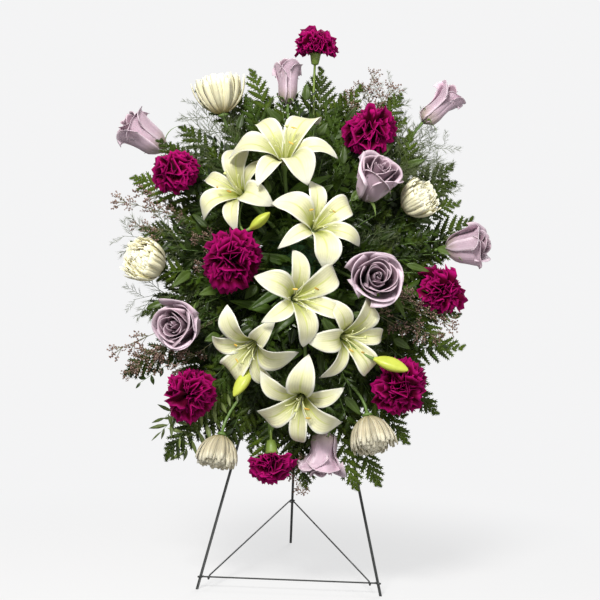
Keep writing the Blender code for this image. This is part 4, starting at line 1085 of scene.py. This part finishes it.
# ================================================================ leather fern
# Stiff, dark, glossy fronds pushed into the foam's edge all round, with short side fronds and small
# ones at the rim. Each is a stalk with toothed leaflets in pairs, shorter and steeper to its tip.
FAN = (
    # name, hole in the foam, angle from +u in degrees, reach from the middle, half width of a frond
    ("top", ("top", (1, 1)), 88.0, 0.350, 0.072),
    ("top_left", ("top", (-3, 2)), 112.0, 0.345, 0.066),
    ("top_right", ("top", (3, 2)), 62.0, 0.335, 0.070),
    ("upper_left", ("left", (3, 1)), 140.0, 0.310, 0.072),
    ("upper_right", ("right", (3, 1)), 38.0, 0.315, 0.072),
    ("left", ("left", (1, 2)), 168.0, 0.285, 0.068),
    ("right", ("right", (1, 2)), 12.0, 0.285, 0.068),
    ("lower_left", ("left", (-1, 1)), 197.0, 0.285, 0.072),
    ("lower_right", ("right", (-1, 1)), 343.0, 0.285, 0.072),
    ("bottom_left", ("left", (-3, 2)), 226.0, 0.320, 0.070),
    ("bottom_right", ("right", (-3, 2)), 313.0, 0.320, 0.070),
    ("bottom", ("bottom", (1, 2)), 268.0, 0.352, 0.072),
    ("under_left", ("bottom", (-3, 1)), 247.0, 0.330, 0.062),
    ("under_right", ("bottom", (3, 1)), 291.0, 0.345, 0.062),
)
# Tips in the spray's frame of the small fronds that stand out from the rim.
RIM_FRONDS = (
    (-0.100, 0.344, -0.005), (-0.298, 0.140, 0.000), (-0.217, 0.233, 0.005), (0.165, 0.306, 0.005),
    (0.262, 0.148, 0.010), (0.268, 0.112, 0.010), (-0.292, -0.205, 0.000), (0.188, -0.306, 0.010),
    (0.236, -0.254, 0.010), (0.105, -0.385, 0.000), (0.143, -0.378, 0.000), (-0.215, -0.345, 0.000),
    (0.240, -0.020, 0.010), (-0.060, -0.372, 0.005), (0.020, -0.385, 0.000), (-0.180, -0.300, 0.010),
    (-0.150, -0.305, -0.010), (-0.110, -0.320, -0.015), (-0.075, -0.325, -0.010), (-0.130, -0.282, 0.010),
    (-0.090, -0.300, 0.010), (-0.045, -0.330, 0.000), (-0.205, -0.285, 0.015),
)
# Short fronds that branch from a node's stem towards the viewer: where along the stem, which way in
# degrees from +u, how far, how much they rise.
SIDE_FRONDS = {
    "top": ((0.40, 52, 0.120, 0.055),),
    "top_left": ((0.25, 100, 0.120, 0.045), (0.55, 150, 0.120, 0.070)),
    "top_right": ((0.40, 30, 0.115, 0.065),),
    "upper_left": ((0.25, 116, 0.120, 0.060), (0.55, 140, 0.120, 0.050)),
    "upper_right": ((0.25, 60, 0.120, 0.060), (0.55, 85, 0.110, 0.070)),
    "left": ((0.25, 155, 0.120, 0.045), (0.55, 190, 0.115, 0.065)),
    "right": ((0.25, 345, 0.115, 0.055), (0.55, 24, 0.120, 0.060)),
    "lower_left": ((0.40, 170, 0.110, 0.070),),
    "lower_right": ((0.25, 325, 0.120, 0.050), (0.55, 302, 0.120, 0.070)),
    "bottom_left": ((0.25, 206, 0.110, 0.045), (0.55, 256, 0.120, 0.070)),
    "bottom_right": ((0.25, 325, 0.120, 0.045), (0.55, 357, 0.120, 0.070)),
    "bottom": ((0.40, 262, 0.120, 0.055),),
    "under_left": ((0.25, 295, 0.115, 0.075), (0.55, 195, 0.120, 0.060)),
    "under_right": ((0.25, 330, 0.110, 0.060), (0.55, 345, 0.110, 0.070)),
}
# A node's own long frond and the shorter ones that rise over it: turn from the node's angle, share of
# its reach, height of the tip over the foam's face.
FRONDS_IN_A_NODE = (
    (0.0, 1.0, -0.020), (9.0, 0.84, 0.000), (-10.0, 0.86, -0.004), (-4.0, 0.72, 0.026),
    (6.0, 0.60, 0.040), (-8.0, 0.52, 0.055),
)
LEAFLET_PITCH = 0.0150
FEWEST_PAIRS = 6
FROND_PULL = 0.38
RIM_ROOT = (0.16, 0.30)  # where a stem to the rim starts, as shares of its tip's u and v
RIM_ROOT_HEIGHT = -0.012
LONG_LEAFLET = 0.030  # over this reach a leaflet has more teeth
FERN = leaf_finish("leather_fern", 0.38, (0.005, 0.011, 0.001), (0.082, 0.128, 0.011), shine=0.25)
# A darker copy of the fern finish for the fronds between the blooms: painted shade.
INNER_FERN = leaf_finish(
    "shaded_leather_fern", 0.38, (0.002, 0.006, 0.001), (0.050, 0.092, 0.008), shine=0.36
)
FERN_STALK = plain_growth("fern_stalk", 0.5, (0.045, 0.085, 0.020), (0.12, 0.19, 0.05), 80.0)


def plant(bm, pattern, place, shade=0.5):
    """Adds a copy of a pattern mesh at a frame. Its own light and dark vary round the shade."""
    before = len(bm.verts)
    bm.from_mesh(pattern)
    bm.verts.ensure_lookup_table()
    grown = bm.verts[before:]
    bmesh.ops.transform(bm, matrix=place, verts=grown)
    tone = bm.verts.layers.float["shade"]
    for vert in grown:
        vert[tone] += shade - 0.5


def blade(bm, halves, droop):
    """A thin leaf one long, creased along its midrib, which is paler, and bent back to its tip."""
    flat = Matrix.Diagonal((1.15, 0.30, 1.0, 1.0))
    shares = [i / (len(halves) - 1) for i in range(len(halves))]
    stalk(bm, [Matrix.Translation((0.0, -droop * t**2, t)) @ flat for t in shares], halves, 3)
    tone = bm.verts.layers.float["shade"]
    for vert in bm.verts:
        vert[tone] = 0.62 if vert.co.y > -droop * vert.co.z**2 else 0.42


def folded_leaf(halves, droop):
    """A pattern of one plain leaf."""
    bm = new_growth()
    blade(bm, halves, droop)
    return as_mesh("leaf", bm)


def toothed_leaflet(teeth, droop):
    """A pattern of a frond's leaflet: a narrow blade one long, with slanting teeth on both sides."""
    bm = new_growth()
    blade(bm, (0.30, 0.56, 0.40, 0.05), droop)
    pitch = 0.92 / teeth
    for i in range(teeth):
        t = 0.03 + pitch * i
        out = 1.05 * (1.0 - t) ** 0.55
        for side in (-1.0, 1.0):
            spread = Vector((0.0, 0.0, -side * 0.66 * pitch))
            thick = Vector((0.0, 0.20, 0.0))
            point = Vector((side * out, -0.22, 0.95 * pitch + 0.03))
            turned = Matrix((spread, thick, point)).transposed().to_4x4()
            root = Vector((side * 0.10, -droop * t * t, t)) + point / 2.0
            tint(bm, cone(bm, 3, 1.0, 0.0, 1.0, Matrix.Translation(root) @ turned), 0.5)
    return as_mesh("leaflet", bm)


LEAFLETS = [toothed_leaflet(7, droop) for droop in (-0.3, 0.3, 0.9)]
SHORT_LEAFLETS = [toothed_leaflet(4, droop) for droop in (-0.3, 0.3, 0.8)]


def along_line(line, share):
    """The frame at a share of the way along a line of frames."""
    spot = min(max(share, 0.0), 1.0) * (len(line) - 1)
    i = min(int(spot), len(line) - 2)
    return line[i].lerp(line[i + 1], spot - i)


def leather_frond(leaves, stalks, line, length, width, rng, bare=0.24):
    """One frond on the frames of line, broad with a short pointed tip. bare is the share of its stalk
    with no leaflets."""
    thick = [0.0012 * (1.0 - 0.75 * i / len(line)) for i in range(len(line))]
    stalk(stalks, line, thick, 4, rng.uniform(0.3, 0.8))
    leafy = length * (1.0 - bare)
    pairs = max(FEWEST_PAIRS, round(leafy / LEAFLET_PITCH))
    shade = rng.uniform(0.15, 0.80)
    for i in range(pairs):
        share = 1.0 - (1.0 - i / (pairs - 1)) ** 1.25
        reach = max(0.010, width * math.tanh(1.05 * leafy * (1.0 - share) / width))
        for side in (-1.0, 1.0):
            at = along_line(line, bare + (0.985 - bare) * share + side * 0.12 / pairs)
            turn = side * math.radians(54.0 - 20.0 * share + rng.uniform(-5.0, 5.0))
            tilt = spin(rng.uniform(-0.08, 0.16), "X")
            wide = (0.0046 + 0.075 * min(reach, 0.05)) * rng.uniform(0.9, 1.1)
            kind = LEAFLETS if reach > LONG_LEAFLET else SHORT_LEAFLETS
            place = at @ spin(turn, "Y") @ tilt @ Matrix.Diagonal((wide, wide, reach, 1.0))
            plant(leaves, rng.choice(kind), place, shade + rng.uniform(-0.08, 0.08))


def framed(points, way):
    """Frames on a path that goes this way, face towards the viewer, and its length."""
    length = sum((one - other).length for one, other in zip(points, points[1:]))
    return frames_along(points, FACING.cross(way)), length


def frond_line(mouth, outward, tip, steps=14):
    """Frames from a frond's root to its tip, and the length of the way."""
    reach = (tip - mouth).length * FROND_PULL
    way = (tip - mouth).normalized()
    return framed(curve_through(mouth, mouth + outward * reach, tip - way * reach, tip, steps), way)


def fern_pieces(name, leaves, stalks, finish=FERN):
    """Makes the pieces of some fronds, and hands back the one of their leaflets."""
    shown = piece(name + "_leaflets", leaves, finish, smooth=False)
    piece(name + "_stalks", stalks, FERN_STALK)
    return shown


def fern(name, hole, angle, reach, width):
    rng = random.Random("fern " + name)
    leaves, stalks = new_growth(), new_growth()
    mouth, outward = hole_in_foam(*hole)
    for turn, share, height in FRONDS_IN_A_NODE:
        way = math.radians(angle + turn + rng.uniform(-3.0, 3.0))
        far = reach * share
        height += rng.uniform(-0.008, 0.008)
        tip = in_spray(math.cos(way) * far, math.sin(way) * far * 1.02, height)
        line, length = frond_line(mouth, outward, tip)
        leather_frond(leaves, stalks, line, length, width * (0.42 + 0.38 * share), rng)
        if not turn:
            rachis = line
    for start, turn, far, rise in SIDE_FRONDS[name]:
        root = along_line(rachis, start).translation
        tip = root + level_way(math.radians(turn)) * far + FACING * rise
        line, length = frond_line(root, (tip - root).normalized(), tip, 8)
        leather_frond(leaves, stalks, line, length, 0.040, rng, 0.12)
    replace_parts(fern_pieces("fern_" + name, leaves, stalks), "fern_" + name)


for settings in FAN:
    fern(*settings)


def rim_line(tip, share):
    """Frames of a stem that runs out from the foam's edge to a tip at the rim, and its length."""
    start, end = in_spray(tip[0] * RIM_ROOT[0], tip[1] * RIM_ROOT[1], RIM_ROOT_HEIGHT), in_spray(*tip)
    way = (end - start).normalized()
    rise = FACING * 0.03 * share
    return framed(curve_through(start, start + way * 0.08 + rise, end - way * 0.07 + rise, end, 10), way)


def rim_ferns():
    rng = random.Random("rim ferns")
    leaves, stalks = new_growth(), new_growth()
    for tip in RIM_FRONDS:
        line, length = rim_line(tip, rng.uniform(0.2, 0.8))
        leather_frond(leaves, stalks, line, length, rng.uniform(0.030, 0.040), rng, 0.45)
    fern_pieces("rim_fern", leaves, stalks)


rim_ferns()


# ================================================================ leather fern between the blooms
# Short fronds pushed into the front of the foam hide it and make the dark green ground that the blooms
# stand out from; their darker copy of the fern finish is painted shade. Some more fill the space under
# the lowest lily.
INNER_FRONDS = 84
LOW_FRONDS = 26
INNER_REACH = (0.245, 0.320)  # of the ring of tips, across and along the spray
RING_HEIGHT = 0.004  # of the tips over the foam's face, at the ring
MIDDLE_RISE = 0.070  # and how much higher they are in the middle


def around(reach, share, way):
    """u and v of a place this share of the way out to an oval ring."""
    return reach[0] * share * math.cos(way), reach[1] * share * math.sin(way)


def inner_ferns():
    rng = random.Random("inner ferns")
    leaves, stalks = new_growth(), new_growth()
    for i in range(INNER_FRONDS + LOW_FRONDS):
        share = math.sqrt((i + 0.6) / INNER_FRONDS)
        way = i * GOLDEN
        if i >= INNER_FRONDS:
            share = rng.uniform(0.72, 1.05)
            way = math.radians(rng.uniform(215.0, 320.0))
        u, v = around(INNER_REACH, share, way)
        w = RING_HEIGHT + MIDDLE_RISE * (1.0 - min(1.0, share) ** 2) + rng.uniform(-0.008, 0.012)
        start = in_spray(0.045 * math.cos(way), 0.10 * math.sin(way), -0.004)
        sideways = (in_spray(u, v, 0.0) - FOAM_FACE).normalized()
        outward = (FACING * (0.9 - 0.5 * share) + sideways).normalized()
        line, length = frond_line(start, outward, in_spray(u, v, w), 10)
        leather_frond(leaves, stalks, line, length, rng.uniform(0.034, 0.050), rng, 0.10)
    fern_pieces("inner_fern", leaves, stalks, INNER_FERN)


inner_ferns()


# ================================================================ plumosus
# Asparagus fern: flat, feathery sprays of hair-fine green needles on thin wiry stems, which show as a
# soft haze round the rim.
NODE_PLUME = (0.248, 0.228, -0.010)  # the tip of the one that has a node
PLUMES = (
    (-0.206, 0.252, 0.000), (-0.198, 0.285, -0.010), (-0.181, 0.216, 0.010), (0.150, 0.335, -0.020),
    (0.205, 0.268, -0.015), NODE_PLUME, (-0.313, 0.034, 0.000), (-0.287, -0.078, 0.000),
    (0.255, 0.168, 0.000), (0.228, 0.190, 0.010), (0.150, 0.010, 0.060), (0.212, 0.228, 0.015),
    (0.190, 0.205, 0.025),
)
TWIGS = 9  # on a plume's stem, on each of its branches and of needles on a twig
PLUME = plain_growth("plumosus_green", 0.7, (0.045, 0.070, 0.020), (0.170, 0.210, 0.085), 50.0, 0.0002)


def needle_branch(rng):
    """A pattern for a flat twig of unit length along z: short side twigs that carry fine needles."""
    bm = new_growth()
    round_form(bm, Matrix(), ((0.0, 0.012), (0.5, 0.010), (1.0, 0.004)), 3)
    for i in range(TWIGS):
        t = 0.10 + 0.86 * i / (TWIGS - 1.0)
        reach = 0.42 * (1.0 - 0.70 * t) * rng.uniform(0.7, 1.15)
        angle = math.radians(rng.uniform(22.0, 46.0)) * (-1.0 if i % 2 else 1.0)
        twig = up(t) @ spin(angle, "Y") @ spin(rng.uniform(-0.35, 0.35), "X")
        stalk(bm, [twig, twig @ up(reach)], (0.008, 0.004), 3)
        for k in range(TWIGS):
            along = reach * (0.10 + 0.95 * k / (TWIGS - 1.0))
            lean = spin(rng.uniform(0.20, 0.60) * (1.0 if k % 2 else -1.0), "Y")
            roll = spin(rng.uniform(-1.2, 1.2), "Z")
            long = rng.uniform(0.13, 0.26)
            where = twig @ up(along) @ roll @ lean @ up(long / 2.0)
            tint(bm, cone(bm, 3, 0.0060, 0.0, long, where), 0.7)
    return as_mesh("needle_branch", bm)


def plumosus():
    rng = random.Random("plumosus")
    pattern = needle_branch(rng)
    bm, rear = new_growth(), new_growth()
    for tip in PLUMES:
        holder = rear if tip == NODE_PLUME else bm
        line, _ = rim_line(tip, rng.uniform(0.2, 1.0))
        stalk(holder, line, [0.0008 - 0.00005 * i for i in range(len(line))], 4, 0.4)
        for i in range(TWIGS):
            at = along_line(line, 0.40 + 0.58 * i / (TWIGS - 1.0))
            reach = 0.050 * math.sin(math.pi * (0.25 + 0.65 * (i / (TWIGS - 1.0)))) + 0.010
            side = math.radians(44.0) * (-1.0 if i % 2 else 1.0)
            turn = spin(side + rng.uniform(-0.15, 0.15), "Y")
            roll = spin(rng.uniform(-0.5, 0.5), "Z")
            plant(holder, pattern, at @ roll @ turn @ Matrix.Scale(reach, 4))
    piece("plumosus_haze", bm, PLUME)
    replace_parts(piece("plumosus_upper_right_spray", rear, PLUME), "plumosus_upper_right")


plumosus()


# ================================================================ limonium
# Sea lavender: wiry branching sprigs that end in clusters of tiny papery cups, dried to a brownish
# pink with a few pale ones.
SPRIGS_OF_LIMONIUM = {
    # the tips of each bunch in the spray's frame: the front one has no node
    "limonium_top": ((0.113, 0.339, -0.010), (0.087, 0.312, 0.0), (0.142, 0.305, 0.0)),
    "limonium_left": (
        (-0.307, 0.096, -0.010), (-0.269, 0.113, 0.0), (-0.280, 0.051, 0.010), (-0.234, 0.076, 0.010),
        (-0.167, 0.016, 0.070), (-0.134, -0.006, 0.078), (-0.160, -0.027, 0.070),
    ),
    "limonium_lower_left": (
        (-0.297, -0.160, 0.0), (-0.280, -0.202, 0.010), (-0.247, -0.170, 0.020), (-0.187, -0.188, 0.040),
        (-0.217, -0.159, 0.030), (-0.265, -0.185, 0.015),
    ),
    "limonium_front": (
        (0.161, -0.115, 0.060), (0.217, -0.125, 0.050), (0.241, -0.101, 0.030), (0.185, -0.075, 0.060),
        (0.012, -0.375, 0.0),
    ),
}
LIMONIUM = plain_growth("limonium_cups", 0.8, (0.12, 0.050, 0.038), (0.52, 0.36, 0.29), 160.0, 0.0002)
LIMONIUM_WIRE = plain_growth("limonium_stems", 0.6, (0.11, 0.11, 0.045), (0.32, 0.30, 0.15), 80.0, 0.0002)
ARMS = 9  # in one head
CUPS = 4  # on one arm
CUP_TONES = (0.0, 0.15, 0.3, 0.9)


def limonium_head(rng):
    """One forked head of unit length along z: its wires and its cups."""
    wires, cups = new_growth(), new_growth()
    tone = cups.verts.layers.float["shade"]
    for i in range(ARMS):
        lean = 0.25 + 0.75 * (i / (ARMS - 1.0))
        arm = up(0.05 + 0.05 * (i % 3)) @ spin(i * GOLDEN, "Z") @ spin(lean * 0.85, "Y")
        reach = rng.uniform(0.70, 0.95) * (1.0 - 0.25 * lean)
        stalk(wires, [arm, arm @ up(reach)], (0.012, 0.007), 3, rng.random())
        for k in range(CUPS):
            back = arm @ up(reach * (0.70 + 0.32 * k / (CUPS - 1.0)))
            tilt = spin(k * GOLDEN, "Z") @ spin(0.5 + 0.4 * (k < CUPS - 1), "Y")
            for vert in cone(cups, 5, 0.0, rng.uniform(0.034, 0.058), 0.11, back @ tilt @ up(0.05)):
                vert[tone] = rng.choice(CUP_TONES)
    return as_mesh("limonium_wires", wires), as_mesh("limonium_cups", cups)


def limonium():
    rng = random.Random("limonium")
    heads = [limonium_head(rng) for _ in range(3)]
    for name, tips in SPRIGS_OF_LIMONIUM.items():
        wires, cups = new_growth(), new_growth()
        for tip in tips:
            line, _ = rim_line(tip, rng.uniform(0.3, 1.0))
            stalk(wires, line, [0.0010 - 0.00006 * i for i in range(len(line))], 4, 0.4)
            for i in range(3):
                at = line[-1 - i]
                turn = spin(rng.uniform(-0.9, 0.9) * (i > 0), "Y")
                nod = spin(rng.uniform(-0.6, 0.6) * (i > 0), "X")
                size = Matrix.Scale(rng.uniform(0.024, 0.038), 4)
                for holder, pattern in zip((wires, cups), rng.choice(heads)):
                    plant(holder, pattern, at @ turn @ nod @ size)
        shown = piece(name + "_cups", cups, LIMONIUM)
        piece(name + "_wires", wires, LIMONIUM_WIRE)
        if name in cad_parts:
            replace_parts(shown, name)


limonium()


# ================================================================ leafy sprigs
# Small glossy leaves on green twigs fill what is left, some at the rim and some between the blooms,
# with long pale narrow ones at the lower left and single broad ones all over.
LEAF = leaf_finish("sprig_leaf", 0.32, (0.003, 0.008, 0.001), (0.056, 0.104, 0.010), shine=0.42)
LEAF_PALE = leaf_finish("pale_edged_leaf", 0.4, (0.012, 0.026, 0.003), (0.24, 0.30, 0.10))
SALAL = leaf_finish("broad_leaf", 0.42, (0.005, 0.012, 0.002), (0.070, 0.115, 0.018), rib=0.5)
BROAD_LEAVES = 52
BROAD_REACH = (0.245, 0.305)
LONG_LEAF_ROOT = (0.150, -0.052, 0.070)
LONG_LEAF = 0.062
SPRIG_TIPS = (
    (0.259, 0.047, 0.010), (0.260, -0.092, 0.020), (0.242, -0.144, 0.030), (-0.200, -0.318, 0.0),
    (-0.222, -0.282, 0.010), (-0.172, -0.296, 0.010), (-0.228, -0.305, 0.0), (-0.188, -0.338, 0.0),
    (-0.246, 0.041, 0.010), (-0.267, -0.221, 0.0),
)
PALE_UNDER = -0.25  # the sprigs whose tips are lower than this are pale
INNER_SPRIGS = 130
INNER_LEAVES = 14  # on one of them
SPRIG_REACH = (0.265, 0.325)
OVAL_LEAVES = [folded_leaf((0.03, 0.17, 0.22, 0.16, 0.01), droop) for droop in (-0.05, 0.10, 0.25)]
NARROW_LEAVES = [folded_leaf((0.02, 0.10, 0.12, 0.08, 0.01), droop) for droop in (0.0, 0.15, 0.35)]
# How many leaves a sprig at the rim has, their length and their kind.
PALE_SPRIG = (22, 0.040, NARROW_LEAVES)
OVAL_SPRIG = (17, 0.023, OVAL_LEAVES)


def sprig(leaves, twigs, line, rng, count, length, kind):
    """A twig on the frames of line with its leaves to both sides and one at its end."""
    stalk(twigs, line, [0.0009 - 0.0006 * i / len(line) for i in range(len(line))], 4, 0.3)
    shade = rng.uniform(0.1, 0.8)
    for i in range(count):
        t = 0.25 + 0.74 * i / (count - 1)
        side = rng.uniform(0.65, 1.25) * (-1.0 if i % 2 else 1.0) * (1.0 - 0.6 * (i == count - 1))
        turn = spin(rng.uniform(-0.9, 0.9), "Z") @ spin(side, "Y")
        size = Matrix.Scale(length * rng.uniform(0.75, 1.15) * (1.0 - 0.25 * t), 4)
        plant(leaves, rng.choice(kind), along_line(line, t) @ turn @ size, shade)


def broad_leaves():
    """Single broad leaves at all angles in the front of the spray, and one long grey-green one."""
    rng = random.Random("broad leaves")
    leaves = new_growth()
    for i in range(BROAD_LEAVES):
        share = math.sqrt((i + 3.0) / (BROAD_LEAVES + 3.0))
        way = i * GOLDEN + 0.4
        root = in_spray(*around(BROAD_REACH, share, way), 0.075 * (1.0 - share**2) + 0.012)
        flat = level_way(way + rng.uniform(-0.9, 0.9))
        ahead = (flat + FACING * rng.uniform(-0.15, 0.55)).normalized() * rng.uniform(0.026, 0.044)
        stem_leaf(leaves, root, ahead, rng.uniform(0.006, 0.009), rng.uniform(0.02, 0.16), rng.random())
    ahead = (ACROSS * 0.5 - CLIMB + FACING * 0.1).normalized() * LONG_LEAF
    stem_leaf(leaves, in_spray(*LONG_LEAF_ROOT), ahead, 0.0055, 0.16, 0.95)
    piece("broad_leaves", leaves, SALAL, LEAF_THICKNESS)


def sprigs():
    rng = random.Random("sprigs")
    leaves, pale, twigs = new_growth(), new_growth(), new_growth()
    for tip in SPRIG_TIPS:
        line, _ = rim_line(tip, rng.uniform(0.3, 1.0))
        if tip[1] < PALE_UNDER:
            sprig(pale, twigs, line, rng, *PALE_SPRIG)
        else:
            sprig(leaves, twigs, line, rng, *OVAL_SPRIG)
    for i in range(INNER_SPRIGS):
        share = math.sqrt((i + 0.5) / INNER_SPRIGS)
        way = i * GOLDEN + 1.1
        u, v = around(SPRIG_REACH, share, way)
        w = 0.002 + 0.070 * (1.0 - share**2) + rng.uniform(-0.022, 0.012)
        start, tip = in_spray(u * 0.35, v * 0.45, -0.010), in_spray(u, v, w)
        middle = start.lerp(tip, 0.5) + FACING * 0.02
        points = curve_through(start, start.lerp(middle, 0.6), middle.lerp(tip, 0.5), tip, 6)
        line = frames_along(points, ACROSS)
        kind = rng.choice((OVAL_LEAVES, OVAL_LEAVES, NARROW_LEAVES))
        sprig(leaves, twigs, line, rng, INNER_LEAVES, rng.uniform(0.019, 0.031), kind)
    piece("sprig_leaves", leaves, LEAF, smooth=False)
    piece("pale_edged_leaves", pale, LEAF_PALE, smooth=False)
    piece("sprig_twigs", twigs, STEM)


broad_leaves()
sprigs()
